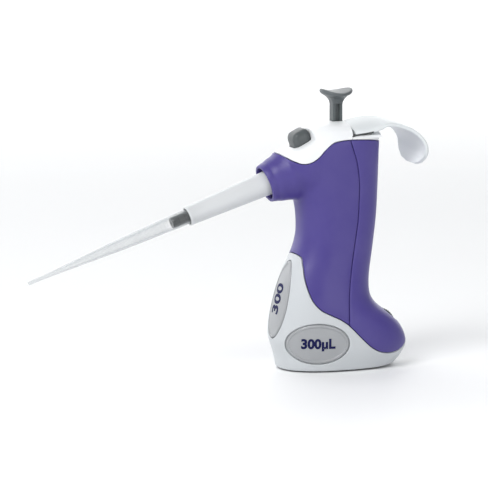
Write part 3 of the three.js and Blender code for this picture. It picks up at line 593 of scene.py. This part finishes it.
# ------------------------------------------------------------------ grip shell
# The purple handle, moulded in one with the round nose that the nozzle comes out of. Its edges are
# rounded where it meets the cap, the skirt and the rear cover.
CAP_LINE = [
    (-48, 104.5), (-29.8, 98.9), (-25.2, 96.1), (-21.5, 94.8), (-18, 95.2), (-15.8, 96.3), (-13.5, 98.2),
    (-11.1, 100.9), (-8.7, 103), (-6.3, 104.2), (-3.2, 104.7), (9.6, 104.5), (19.5, 103.2), (30, 102.6),
]
REAR_LINE = np.array([
    (1.1, 118), (1.1, 104.6), (2.3, 100.8), (3.9, 96), (4.8, 91), (5.4, 83.7), (5.2, 78), (4.8, 70.4),
    (3.4, 60.7), (1.7, 51), (0, 40.8), (-1.1, 32.4), (-1.8, 21.9), (-2.2, 5),
])
PANEL_PASSES = 22
cap_over = side_distance(CAP_LINE)


def rear_angle(z, offset):
    """The angle round the body where the parting line between grip and rear cover lies."""
    centre, length, _ = body_section(z)
    x = flow(REAR_LINE[::-1, 1], REAR_LINE[::-1, 0], z) + offset
    share = np.clip((x - centre) / length, -1.0, 1.0)
    return np.arccos(np.sign(share) * np.abs(share) ** (SQUARENESS / 2))


def side_panel(name, side, columns, rows):
    """The panel ahead of (side -1) or behind (side 1) the rear parting line, between skirt and cap."""
    across = [(offset, depth, None) for offset, depth in LIP]
    across += [(LIP[-1][0], 0.0, t) for t in np.linspace(0.0, 1.0, columns)[1:-1]]
    across += [(offset, depth, 1.0) for offset, depth in LIP[::-1]]
    upward = [("low", offset, depth) for offset, depth in LIP]
    upward += [("mid", t, 0.0) for t in np.linspace(0.0, 1.0, rows)[1:-1]]
    upward += [("high", offset, depth) for offset, depth in LIP[::-1]]
    low_edge = crossing(skirt_over, SEAM_HALF_GAP + LIP[-1][0])
    high_edge = crossing(cap_over, -SEAM_HALF_GAP - LIP[-1][0])
    edges = {("low", o): crossing(skirt_over, SEAM_HALF_GAP + o) for o, _ in LIP}
    edges.update({("high", o): crossing(cap_over, -SEAM_HALF_GAP - o) for o, _ in LIP})
    height = np.full((len(upward), len(across)), 60.0)
    angle = np.zeros_like(height)
    for _ in range(PANEL_PASSES):
        for j, (offset, _, t) in enumerate(across):
            edge = rear_angle(height[:, j], side * (SEAM_HALF_GAP + offset))
            if side < 0:
                first, last = edge, 2 * math.pi - edge
            else:
                first, last = -edge, edge
            angle[:, j] = first + (last - first) * (t or 0.0)
        for i, (kind, value, _) in enumerate(upward):
            if kind == "mid":
                low, high = read_round(low_edge, angle[i]), read_round(high_edge, angle[i])
                wanted = low + (high - low) * value
            else:
                wanted = read_round(edges[kind, value], angle[i])
            height[i] += (wanted - height[i]) * 0.5
    depth = np.maximum(np.array([row[2] for row in upward])[:, None],
                       np.array([column[1] for column in across])[None, :])
    return closed_shell(name, angle, height, depth, False)


def turned(name, profile, sides, sharp=35.0):
    """A round piece about the nozzle's axis, from (along, radius) pairs; radius 0 closes it."""
    turn = np.linspace(0.0, 2 * math.pi, sides, endpoint=False)[:, None]
    rings = []
    for along, radius in profile:
        ring = NOSE_RIM + NOZZLE_DIRECTION * along + NOZZLE_UP * np.cos(turn) * radius
        rings.append(ring + np.array([0.0, 1.0, 0.0]) * np.sin(turn) * radius)
    return as_object(name, np.concatenate(rings), grid_faces(len(rings), sides, True), sharp)


grip = side_panel("grip_moulding", -1, 150, 96)
shape_with(grip, "UNION", turned("collar", [
    (-3.2, 0.0), (-3.2, 9.0), (-2.4, 9.22), (-0.5, 8.74), (-0.18, 8.62), (0.0, 8.3), (0.0, 0.0),
], 96))
shape_with(grip, "DIFFERENCE", turned("bore", [
    (-16.0, 0.0), (-16.0, 7.3), (-0.7, 7.3), (-0.3, 7.42), (0.3, 7.8), (0.3, 0.0),
], 96))
grip_finish = moulded("purple_plastic", (0.054, 0.036, 0.232), 0.40, 0.02, tint=0.06, coat=0.05)
dressed(grip, grip_finish, "body", "purple_shell", "grip_shell")

# ------------------------------------------------------------------ rear cover
# The lighter purple back with its heel, a separate moulding clipped on behind the grip. A slot in the
# crown of the heel lets a finger reach the volume wheel.
WHEEL_CENTRE = (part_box("volume_wheel")[0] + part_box("volume_wheel")[1]) / 2 / MM
SLOT_RADIUS = 9.6
SLOT_HALF = 3.4
SCOOP_CENTRE = (37.5, 0.0, 39.8)
SCOOP_RADIUS = 22.2
SCOOP_HALF = 9.0


def round_bar(name, centre, radius, half, sides=64, edge=0.0):
    """A bar across the body (along Y) with eased ends."""
    turn = np.linspace(0.0, 2 * math.pi, sides, endpoint=False)
    rings = []
    for y, r in [(-half, 0.0), (-half, radius - edge), (-half + edge, radius), (half - edge, radius),
                 (half, radius - edge), (half, 0.0)]:
        rings.append(np.stack([centre[0] + r * np.cos(turn), np.full(sides, y),
                               centre[2] + r * np.sin(turn)], axis=-1))
    return as_object(name, np.concatenate(rings), grid_faces(len(rings), sides, True))


rear_cover = side_panel("rear_moulding", 1, 90, 110)
shape_with(rear_cover, "DIFFERENCE", round_bar(
    "wheel_room", WHEEL_CENTRE, SLOT_RADIUS, SLOT_HALF, edge=0.4))
shape_with(rear_cover, "DIFFERENCE", round_bar(
    "scoop", SCOOP_CENTRE, SCOOP_RADIUS, SCOOP_HALF, 256, 0.5))
rear_finish = moulded("violet_plastic", (0.060, 0.041, 0.250), 0.40, 0.02, tint=0.06, coat=0.05)
dressed(rear_cover, rear_finish, "body", "violet_shell", "rear_cover")

# ------------------------------------------------------------------ top cap
# The white head cover. The ejector knob stands in a pocket of its brow, the plunger's stem passes
# through its crown, and its back half is a rail under the finger hook, with an adjusting slit on each side,
# darkened with painted shade (the charcoal strips below).
KNOB_ALONG = -22.3
KNOB_LENGTH = 8.6
KNOB_WIDTH = 10.4
KNOB_CORNER = 2.6
STEM_X = (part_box("plunger_stem")[0].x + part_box("plunger_stem")[1].x) / 2 / MM
STEM_HALF = 2.3
RAIL_TOP = 108.9
RAIL_DROP = 2.6
HOOK_FRONT = 2.6
SLIT_X = (2.3, 12.8)
SLIT_Z = (106.0, 107.4)
SLIT_HEIGHT = 1.0
SLIT_FLOOR = 11.3
DECK_X = (0.8, 16.6)
DECK_HALF = 12.2
DECK_BOTTOM = 105.3
KNOB_ROOM = 0.35
STEM_ROOM = 0.3
FLANK = (12.4, 20.0)
GROOVE_X = (2.0, 2.35)
NOTCH_X = (9.2, 11.6)


def rounded_oblong(long, wide, corner, count=9):
    """Outline points of an oblong with rounded corners, (first, second) pairs."""
    points = []
    for quarter in range(4):
        middle = math.radians(45 + 90 * quarter)
        cx = (long / 2 - corner) * math.copysign(1, math.cos(middle))
        cy = (wide / 2 - corner) * math.copysign(1, math.sin(middle))
        for t in np.linspace(-0.25, 0.25, count):
            turn = middle + t * math.pi
            points.append((cx + corner * math.cos(turn), cy + corner * math.sin(turn)))
    return np.array(points)


def stacked(name, outlines, sharp=35.0):
    """Closed rings of equal length, joined in order and closed with flat ends."""
    count = len(outlines[0])
    faces = grid_faces(len(outlines), count, True)
    faces.append(tuple(range(count))[::-1])
    faces.append(tuple((len(outlines) - 1) * count + i for i in range(count)))
    return as_object(name, np.concatenate(outlines), faces, sharp)


def on_nozzle(along, across, up):
    return NOSE_RIM + np.multiply.outer(along, NOZZLE_DIRECTION) + np.multiply.outer(up, NOZZLE_UP) \
        + np.multiply.outer(across, np.array([0.0, 1.0, 0.0]))


def knob_ring(grow, up):
    outline = rounded_oblong(KNOB_LENGTH + 2 * grow, KNOB_WIDTH + 2 * grow, KNOB_CORNER + grow)
    return on_nozzle(KNOB_ALONG + outline[:, 0], outline[:, 1], np.broadcast_to(up, len(outline)))


def arched_block(name, x0, x1, lift, other_side, half=18.0):
    """A block along X whose one face is the arch of the rail."""
    y = np.linspace(-half, half, 41)
    arch = np.stack([y, RAIL_TOP + lift - RAIL_DROP * (y / 13) ** 2], axis=-1)
    outline = np.concatenate([arch, [[half, other_side], [-half, other_side]]])
    return stacked(name, [np.column_stack([np.full(len(outline), x), outline]) for x in (x0, x1)])


def brick(name, x, y, z):
    corners = np.array([(x[0], y[0]), (x[1], y[0]), (x[1], y[1]), (x[0], y[1])], float)
    return stacked(name, [np.column_stack([corners, np.full(4, h)]) for h in z])


def slit_tool(near, far):
    """A thin slanted block for the adjusting slit, on one side of the head."""
    corners = [(SLIT_X[0], SLIT_Z[0]), (SLIT_X[1], SLIT_Z[1]),
               (SLIT_X[1], SLIT_Z[1] + SLIT_HEIGHT), (SLIT_X[0], SLIT_Z[0] + SLIT_HEIGHT)]
    return stacked("slit", [np.array([(x, y, z) for x, z in corners]) for y in (near, far)])


cap_rows, cap_depths = [], []
for offset, depth in LIP:
    cap_rows.append(read_round(crossing(cap_over, SEAM_HALF_GAP + offset), round_angles))
    cap_depths.append(depth)
for t in np.linspace(0.0, 1.0, 64)[1:]:
    cap_rows.append(cap_rows[4] + (CROWN_HEIGHT - cap_rows[4]) * (1 - (1 - t) ** 2))
    cap_depths.append(0.0)
cap_heights = np.stack(cap_rows)
top_cap = closed_shell(
    "cap_moulding", np.broadcast_to(round_angles, cap_heights.shape), cap_heights,
    np.broadcast_to(np.array(cap_depths)[:, None], cap_heights.shape), True,
)
shape_with(top_cap, "UNION", arched_block("rail_deck", *DECK_X, 0.4, DECK_BOTTOM, DECK_HALF))
shape_with(top_cap, "DIFFERENCE", stacked(
    "knob_pocket", [knob_ring(KNOB_ROOM, up) for up in (2.0, 24.0)]))
stem_gap = STEM_HALF + STEM_ROOM
shape_with(top_cap, "DIFFERENCE", brick(
    "stem_hole", (STEM_X - stem_gap, STEM_X + stem_gap), (-stem_gap, stem_gap), (104.0, 118.0)))
shape_with(top_cap, "DIFFERENCE", arched_block("rail_room", HOOK_FRONT - 0.25, 60.0, -0.1, 130.0))
for side in (-1, 1):
    flank = sorted(side * y for y in FLANK)
    shape_with(top_cap, "DIFFERENCE", slit_tool(side * SLIT_FLOOR, side * FLANK[1]))
    shape_with(top_cap, "DIFFERENCE", brick("seam_groove", GROOVE_X, flank, (103.0, 106.8)))
    shape_with(top_cap, "DIFFERENCE", brick("pry_notch", NOTCH_X, flank, (103.4, 104.75)))
white_finish = moulded("white_plastic", (0.84, 0.855, 0.87), 0.35, 0.015, tint=0.02, coat=0.2, scuffs=0.04)
dressed(top_cap, white_finish, "body", "white_plastic", "top_cap")

# ------------------------------------------------------------------ slit shade strips
# Charcoal strips at the bottom of the two slits between the cap and the hook's block: painted shade, a dark
# sheet that stands in for the shadow inside the slits. They are attached to the hook and move with it.
SLIT_SHADE_FLANK = (11.35, 12.1)
# Charcoal colour as painted shade in the slits; these strips are not a part of the pipette.
slit_shade_finish = moulded("slit_painted_shade", (0.030, 0.034, 0.036), 0.5, 0.02, tint=0.15, scuffs=0.1)
for side, where in ((-1, "left"), (1, "right")):
    rail = slit_tool(side * SLIT_SHADE_FLANK[0], side * SLIT_SHADE_FLANK[1])
    rail.name = "slit_shade_strip_" + where
    rail.data.materials.append(slit_shade_finish)
    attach(rail, "hook")

# ------------------------------------------------------------------ finger hook
# A white arched strip that grows out of a block on the cap's rail, sweeps back over the hand and ends in
# a broad turned-down paddle. Its edges are fully rounded.
HOOK = np.array([
    # x, z, half width, sag of the arch, thickness
    [2.6, 111.4, 12.5, 3.0, 5.4], [6.0, 112.5, 12.9, 3.8, 6.0], [11.0, 113.4, 13.1, 4.2, 6.0],
    [14.4, 113.7, 13.2, 3.8, 5.6], [16.4, 113.6, 13.2, 3.2, 2.8], [19.0, 113.4, 13.2, 2.1, 1.9],
    [22.5, 112.6, 13.2, 1.1, 1.8],
    [26.3, 111.4, 13.6, 0.6, 1.8], [31.2, 109.2, 14.6, 0.4, 1.8], [35.4, 106.1, 15.6, 0.5, 1.8],
    [38.3, 102.2, 16.4, 0.8, 1.8],
    [39.2, 98.4, 16.5, 1.1, 1.8], [38.9, 95.0, 14.8, 1.1, 1.8], [38.0, 92.4, 11.0, 0.8, 1.7],
    [37.4, 91.1, 5.6, 0.4, 1.5],
])
HOOK_ROWS = 120
HOOK_EDGE = 1.1
hook_at = np.linspace(0.0, len(HOOK) - 1.0, HOOK_ROWS)
hook_x, hook_z, hook_half, hook_sag, hook_thick = (
    flow(np.arange(len(HOOK)), HOOK[:, k], hook_at) for k in range(5))
way = np.stack([np.gradient(hook_x), np.gradient(hook_z)], axis=-1)
way /= np.linalg.norm(way, axis=-1)[:, None]
edge_turn = np.linspace(math.pi / 2, -math.pi / 2, 9)
hook_rings = []
for i in range(HOOK_ROWS):
    edge = min(hook_thick[i] / 2, HOOK_EDGE)
    side_top = np.linspace(-1.0, 1.0, 27)
    y_top = side_top * (hook_half[i] - edge)
    top = [(y, 0.0) for y in y_top]
    round_right = [(y_top[-1] + edge * math.cos(a), edge - edge * math.sin(a)) for a in edge_turn[1:-1]]
    bottom = [(y, min(hook_thick[i], 2 * edge) + max(hook_thick[i] - 2 * edge, 0.0)
               * (1 - (y / y_top[-1]) ** 4)) for y in y_top[::-1]]
    round_left = [(-y, d) for y, d in round_right[::-1]]
    ring = []
    for y, depth in top + round_right + bottom + round_left:
        sink = depth + hook_sag[i] * (y / hook_half[i]) ** 2
        ring.append((hook_x[i] + way[i, 1] * sink, y, hook_z[i] - way[i, 0] * sink))
    hook_rings.append(np.array(ring))
finger_hook = stacked("hook_strip", hook_rings)
shape_with(finger_hook, "DIFFERENCE", arched_block("rail", -5.0, 18.0, 0.1, 60.0))
for side in (-1, 1):
    shape_with(finger_hook, "DIFFERENCE", slit_tool(side * SLIT_FLOOR, side * FLANK[1]))
# The hook's white is darker than the cap's white plastic: painted shade for its shaded underside and inner
# face.
shaded_hook_finish = moulded("hook_white_painted_shade", (0.70, 0.73, 0.745), 0.36, 0.015, tint=0.02, coat=0.15, scuffs=0.04)
dressed(finger_hook, shaded_hook_finish, "hook", "white_plastic", "finger_hook")

# ------------------------------------------------------------------ plunger
# A charcoal stem of H section under a light grey saddle for the thumb, coloured far darker than its own
# grey as painted shade of its underside. The neck of the saddle is moulded over the end of the stem.
GROOVE_HALF = 0.95
GROOVE_DEPTH = 1.3
STEM_EDGE = 0.28
SADDLE = [
    # height, half length, half width, rise of the two ends
    (120.2, 2.4, 2.4, 0.0), (120.8, 2.5, 2.5, 0.0), (121.6, 2.8, 2.9, 0.0), (122.6, 3.5, 3.7, 0.0),
    (123.6, 4.9, 5.3, 0.1), (124.2, 6.2, 6.8, 0.25), (124.7, 6.95, 7.6, 0.4), (125.15, 7.3, 8.0, 0.55),
    (125.6, 7.4, 8.1, 0.65), (126.0, 7.3, 7.95, 0.75), (126.25, 7.0, 7.6, 0.8), (126.3, 6.3, 6.9, 0.7),
    (126.15, 5.0, 5.6, 0.45), (126.0, 3.4, 3.8, 0.22), (125.9, 1.8, 2.0, 0.06), (125.9, 0.5, 0.5, 0.0),
]
h, g, d = STEM_HALF, GROOVE_HALF, STEM_HALF - GROOVE_DEPTH
stem_outline = np.array([(-h, -h), (-g, -h), (-g, -d), (g, -d), (g, -h), (h, -h),
                         (h, h), (g, h), (g, d), (-g, d), (-g, h), (-h, h)])
stem_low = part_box("plunger_stem")[0].z / MM
stem_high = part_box("plunger_stem")[1].z / MM
stem = stacked("stem_bar", [
    np.column_stack([stem_outline[:, 0] + STEM_X, stem_outline[:, 1], np.full(12, z)])
    for z in (stem_low, stem_high)])
softened = stem.modifiers.new("eased_edges", "BEVEL")
softened.width = STEM_EDGE * MM
softened.segments = 4
softened.limit_method = "ANGLE"
charcoal_finish = moulded("charcoal_plastic", (0.060, 0.076, 0.080), 0.40, 0.03, tint=0.12, scuffs=0.10)
dressed(stem, charcoal_finish, "plunger", "charcoal_plastic", "plunger_stem")

saddle_turn = np.linspace(0.0, 2 * math.pi, 96, endpoint=False)
saddle_rings = []
saddle_table = np.array(SADDLE)
turn_x, turn_y = np.cos(saddle_turn), np.sin(saddle_turn)
for t in np.linspace(0.0, len(SADDLE) - 1.0, 61):
    z, a, b, rise = (flow(np.arange(len(SADDLE)), saddle_table[:, k], t) for k in range(4))
    power = 2 / (2.0 + 10.0 * (1 - ease(t, 0.0, 4.5)))
    saddle_rings.append(np.stack([
        STEM_X + a * np.sign(turn_x) * np.abs(turn_x) ** power,
        b * np.sign(turn_y) * np.abs(turn_y) ** power,
        z + rise * np.cos(2 * saddle_turn),
    ], axis=-1))
pad = stacked("thumb_saddle", saddle_rings)
# The saddle's grey is darkened below its own light grey: painted shade for its dark underside and neck.
shaded_pad_finish = moulded("grey_plastic", (0.092, 0.106, 0.113), 0.36, 0.03, tint=0.08, scuffs=0.08)
dressed(pad, shaded_pad_finish, "plunger", "grey_plastic", "thumb_pad")

# ------------------------------------------------------------------ ejector knob
# A charcoal button with a rounded square plan and a sloped, slightly crowned top. It slides in the cap's
# pocket; its stem pushes the ejector sleeve forward.
KNOB_TOP = 18.25
KNOB_SLOPE = 0.131
KNOB_EDGE = [(0.0, 3.2), (-0.15, 2.1), (-0.55, 1.15), (-1.2, 0.48), (-2.0, 0.14), (-2.7, 0.02)]


def knob_top_ring(long, wide, corner, under):
    outline = rounded_oblong(long, wide, corner)
    along = KNOB_ALONG + outline[:, 0]
    return on_nozzle(along, outline[:, 1], KNOB_TOP - (along + 30) * KNOB_SLOPE - under)


stalk = rounded_oblong(5.0, 3.0, 0.8)
knob_rings = [
    on_nozzle(KNOB_ALONG + stalk[:, 0], stalk[:, 1], np.full(len(stalk), up)) for up in (5.2, 9.2)]
knob_rings += [knob_ring(-0.3, 9.2), knob_ring(0.0, 9.5)]
for grow, under in KNOB_EDGE:
    knob_rings.append(knob_top_ring(
        KNOB_LENGTH + 2 * grow, KNOB_WIDTH + 2 * grow, max(KNOB_CORNER + grow, 0.6), under))
for share in (0.65, 0.35, 0.06):
    knob_rings.append(knob_top_ring(
        (KNOB_LENGTH - 5) * share, (KNOB_WIDTH - 5) * share, 0.6 * share, 0.12 * share - 0.12))
knob = stacked("knob_button", knob_rings)
knob_finish = moulded("knob_plastic", (0.046, 0.058, 0.062), 0.33, 0.03, tint=0.12, scuffs=0.12)
dressed(knob, knob_finish, "ejector_button", "charcoal_plastic", "ejector_knob")

# ------------------------------------------------------------------ ejector sleeve and nozzle end
# A slim white tube round the nozzle that pushes the tip off. Its mouth is open, with the seat cone of the
# nozzle inside it: charcoal plastic, coloured near black as painted shade inside the mouth.
SLEEVE_END = 39.3
SLEEVE_WALL = 0.65


def sleeve_radius(along):
    return 5.5 - 1.2 * along / SLEEVE_END


sleeve = turned("sleeve_tube", [
    (-6.0, 3.65), (-6.0, 6.6), (-5.8, 6.8), (-4.8, 6.8), (-4.6, 6.6), (-4.6, sleeve_radius(-4.6)),
    (10.0, sleeve_radius(10.0)), (30.0, sleeve_radius(30.0)), (37.9, sleeve_radius(37.9)),
    (38.1, 4.44), (38.9, 4.44), (39.2, 4.34), (39.3, 4.16), (39.3, 3.92), (39.15, 3.76), (38.8, 3.7),
    (36.8, sleeve_radius(36.8) - SLEEVE_WALL), (36.8, 3.05), (36.2, 3.05),
    (36.2, sleeve_radius(36.2) - SLEEVE_WALL), (-4.6, sleeve_radius(-4.6) - SLEEVE_WALL), (-4.6, 3.65),
    (-6.0, 3.65),
], 96)
# The sleeve's white is darker than the cap's white plastic: painted shade for the grey shading along the
# tube.
shaded_sleeve_finish = moulded(
    "sleeve_white_painted_shade", (0.62, 0.635, 0.65), 0.36, 0.012, tint=0.03, coat=0.1, scuffs=0.05)
dressed(sleeve, shaded_sleeve_finish, "sleeve", "white_plastic", "ejector_sleeve")

cone = turned("seat_cone", [
    (36.0, 0.8), (36.0, 2.72), (40.0, 2.7), (41.0, 2.69), (41.15, 2.55), (41.55, 2.55), (41.7, 2.69),
    (44.0, 2.66), (44.15, 2.52), (44.55, 2.52), (44.7, 2.65), (46.8, 2.62), (47.2, 2.5), (47.4, 2.3),
    (47.4, 0.8), (36.0, 0.8),
], 72)
# Near black, darker than the charcoal plastic: its own charcoal plus painted shade inside the sleeve's
# mouth.
cone_charcoal_and_shade_finish = moulded("cone_charcoal_and_painted_shade", (0.014, 0.018, 0.020), 0.26, 0.02, tint=0.1, coat=0.4)
dressed(cone, cone_charcoal_and_shade_finish, "body", "charcoal_plastic", "nozzle_cone")

# ------------------------------------------------------------------ disposable tip
# A long, thin-walled cone of clear polypropylene in three tapers, with a rolled collar and fine ribs at
# the end that seats on the nozzle.
tip_profile = [(37.1, 3.0), (37.1, 3.3), (37.2, 3.42), (38.0, 3.42), (38.2, 3.36), (47.8, 3.3),
               (48.2, 3.24), (62.0, 2.9), (77.2, 2.48), (77.8, 2.4), (92.0, 1.78), (106.0, 1.08),
               (106.6, 1.02),
               (112.0, 0.88), (118.7, 0.76), (118.9, 0.68), (118.9, 0.44), (112.0, 0.5), (106.3, 0.62),
               (92.0, 1.36), (77.6, 2.04), (47.8, 2.9), (37.1, 3.0)]
tip = turned("clear_tip_cone", tip_profile, 64, sharp=50.0)
tip_finish, tip_shader, tip_start = blank_finish("clear_polypropylene")
rim_view = tip_start.node("ShaderNodeLayerWeight", {}, {"Blend": 0.5}, output=1)
haze = noise(tip_start, tip_start.node("ShaderNodeTexCoord", output=3), 240.0)
reach_out = tip_start.node("ShaderNodeSeparateXYZ", {}, {
    "Vector": tip_start.node("ShaderNodeTexCoord", output=3)})
clearing = reach_out.between(-0.084, -0.079)
feed(tip_shader, "Alpha", 0.14 - 0.11 * clearing + 0.66 * rim_view ** 1.7 + 0.02 * haze)
feed(tip_shader, "Base Color", tip_start.node("ShaderNodeMix", {"data_type": "RGBA"}, {
    "Factor": haze, 6: (0.50, 0.53, 0.55, 1.0), 7: (0.60, 0.63, 0.65, 1.0)}, output=2))
feed(tip_shader, "Roughness", 0.12 + 0.1 * haze)
dressed(tip, tip_finish, "tip", "clear_tip", "pipette_tip")

# ------------------------------------------------------------------ volume wheel
# A charcoal knurled wheel on a cross axle inside the heel, sunk just below the crown so that only a thumb
# tip reaches it through the slot. Its rims are chamfered.
WHEEL_RADIUS = 8.5
WHEEL_HALF = 2.8
KNURLS = 48
knurl_turn = np.linspace(0.0, 2 * math.pi, KNURLS * 6, endpoint=False)
knurl = 0.28 * np.abs(np.sin(knurl_turn * KNURLS / 2))
wheel_rings = []
for y, radius, depth in [(-WHEEL_HALF, 1.1, 0.0), (-WHEEL_HALF, 7.4, 0.0), (-2.5, 8.0, 0.3),
                         (-2.2, WHEEL_RADIUS, 1.0), (2.2, WHEEL_RADIUS, 1.0), (2.5, 8.0, 0.3),
                         (WHEEL_HALF, 7.4, 0.0), (WHEEL_HALF, 1.1, 0.0), (-WHEEL_HALF, 1.1, 0.0)]:
    reach = radius - depth * knurl
    wheel_rings.append(np.stack([
        WHEEL_CENTRE[0] + reach * np.cos(knurl_turn), np.full(len(reach), y),
        WHEEL_CENTRE[2] + reach * np.sin(knurl_turn)], axis=-1))
wheel = as_object("knurled_wheel", np.concatenate(wheel_rings),
                  grid_faces(len(wheel_rings), len(knurl_turn), True), sharp=30.0)
dressed(wheel, charcoal_finish, "wheel", "charcoal_plastic", "volume_wheel")

# ------------------------------------------------------------------ inner works and foot
# The chassis, screws, springs, rocker, piston, lead screw, ballast and rubber foot keep their own
# solids. Each takes a finish of its kind; the lead screw, the rocker and the foot get eased edges.
INNER_EDGE = 0.15
acetal_finish = moulded("acetal", (0.68, 0.64, 0.56), 0.42, 0.01, tint=0.04)
rubber_finish = moulded("rubber", (0.025, 0.027, 0.030), 0.75, 0.05, tint=0.2)
inner_grey_finish = moulded("chassis_plastic", (0.26, 0.27, 0.28), 0.5, 0.03, tint=0.08)
steel_finish, steel_shader, steel_start = blank_finish("ground_steel")
steel_place = steel_start.node("ShaderNodeTexCoord", output=3)
grind = noise(steel_start, steel_start.node(
    "ShaderNodeMapping", {}, {"Vector": steel_place, "Scale": (6000.0, 700.0, 700.0)}), 1.0, 4.0, 0.65)
feed(steel_shader, "Base Color", steel_start.node("ShaderNodeMix", {"data_type": "RGBA"}, {
    "Factor": grind, 6: (0.36, 0.37, 0.38, 1.0), 7: (0.60, 0.61, 0.62, 1.0)}, output=2))
feed(steel_shader, "Roughness", 0.22 + 0.2 * grind)
feed(steel_shader, "Normal", steel_start.node(
    "ShaderNodeBump", {}, {"Strength": 0.2, "Distance": 0.01 * MM, "Height": grind}))
steel_shader.inputs["Metallic"].default_value = 1.0
kinds = {
    "acetal": acetal_finish, "rubber": rubber_finish, "grey_plastic": inner_grey_finish,
    "steel": steel_finish, "charcoal_plastic": charcoal_finish, "white_plastic": white_finish,
    "purple_shell": grip_finish, "violet_shell": rear_finish, "base_plastic": base_finish,
    "silver_plate": plate_finish, "clear_tip": tip_finish,
}
for entry in frame["record"]["subparts"]:
    node = frame["nodes"][entry["node"]]
    node.data.materials.clear()
    node.data.materials.append(kinds[entry["material_slot"]])
for name in ("lead_screw", "rocker_lever", "foot_pad"):
    eased = frame["nodes"][name].modifiers.new("eased_edges", "BEVEL")
    eased.width = INNER_EDGE * MM
    eased.segments = 2
    eased.limit_method = "ANGLE"
    eased.angle_limit = math.radians(50)
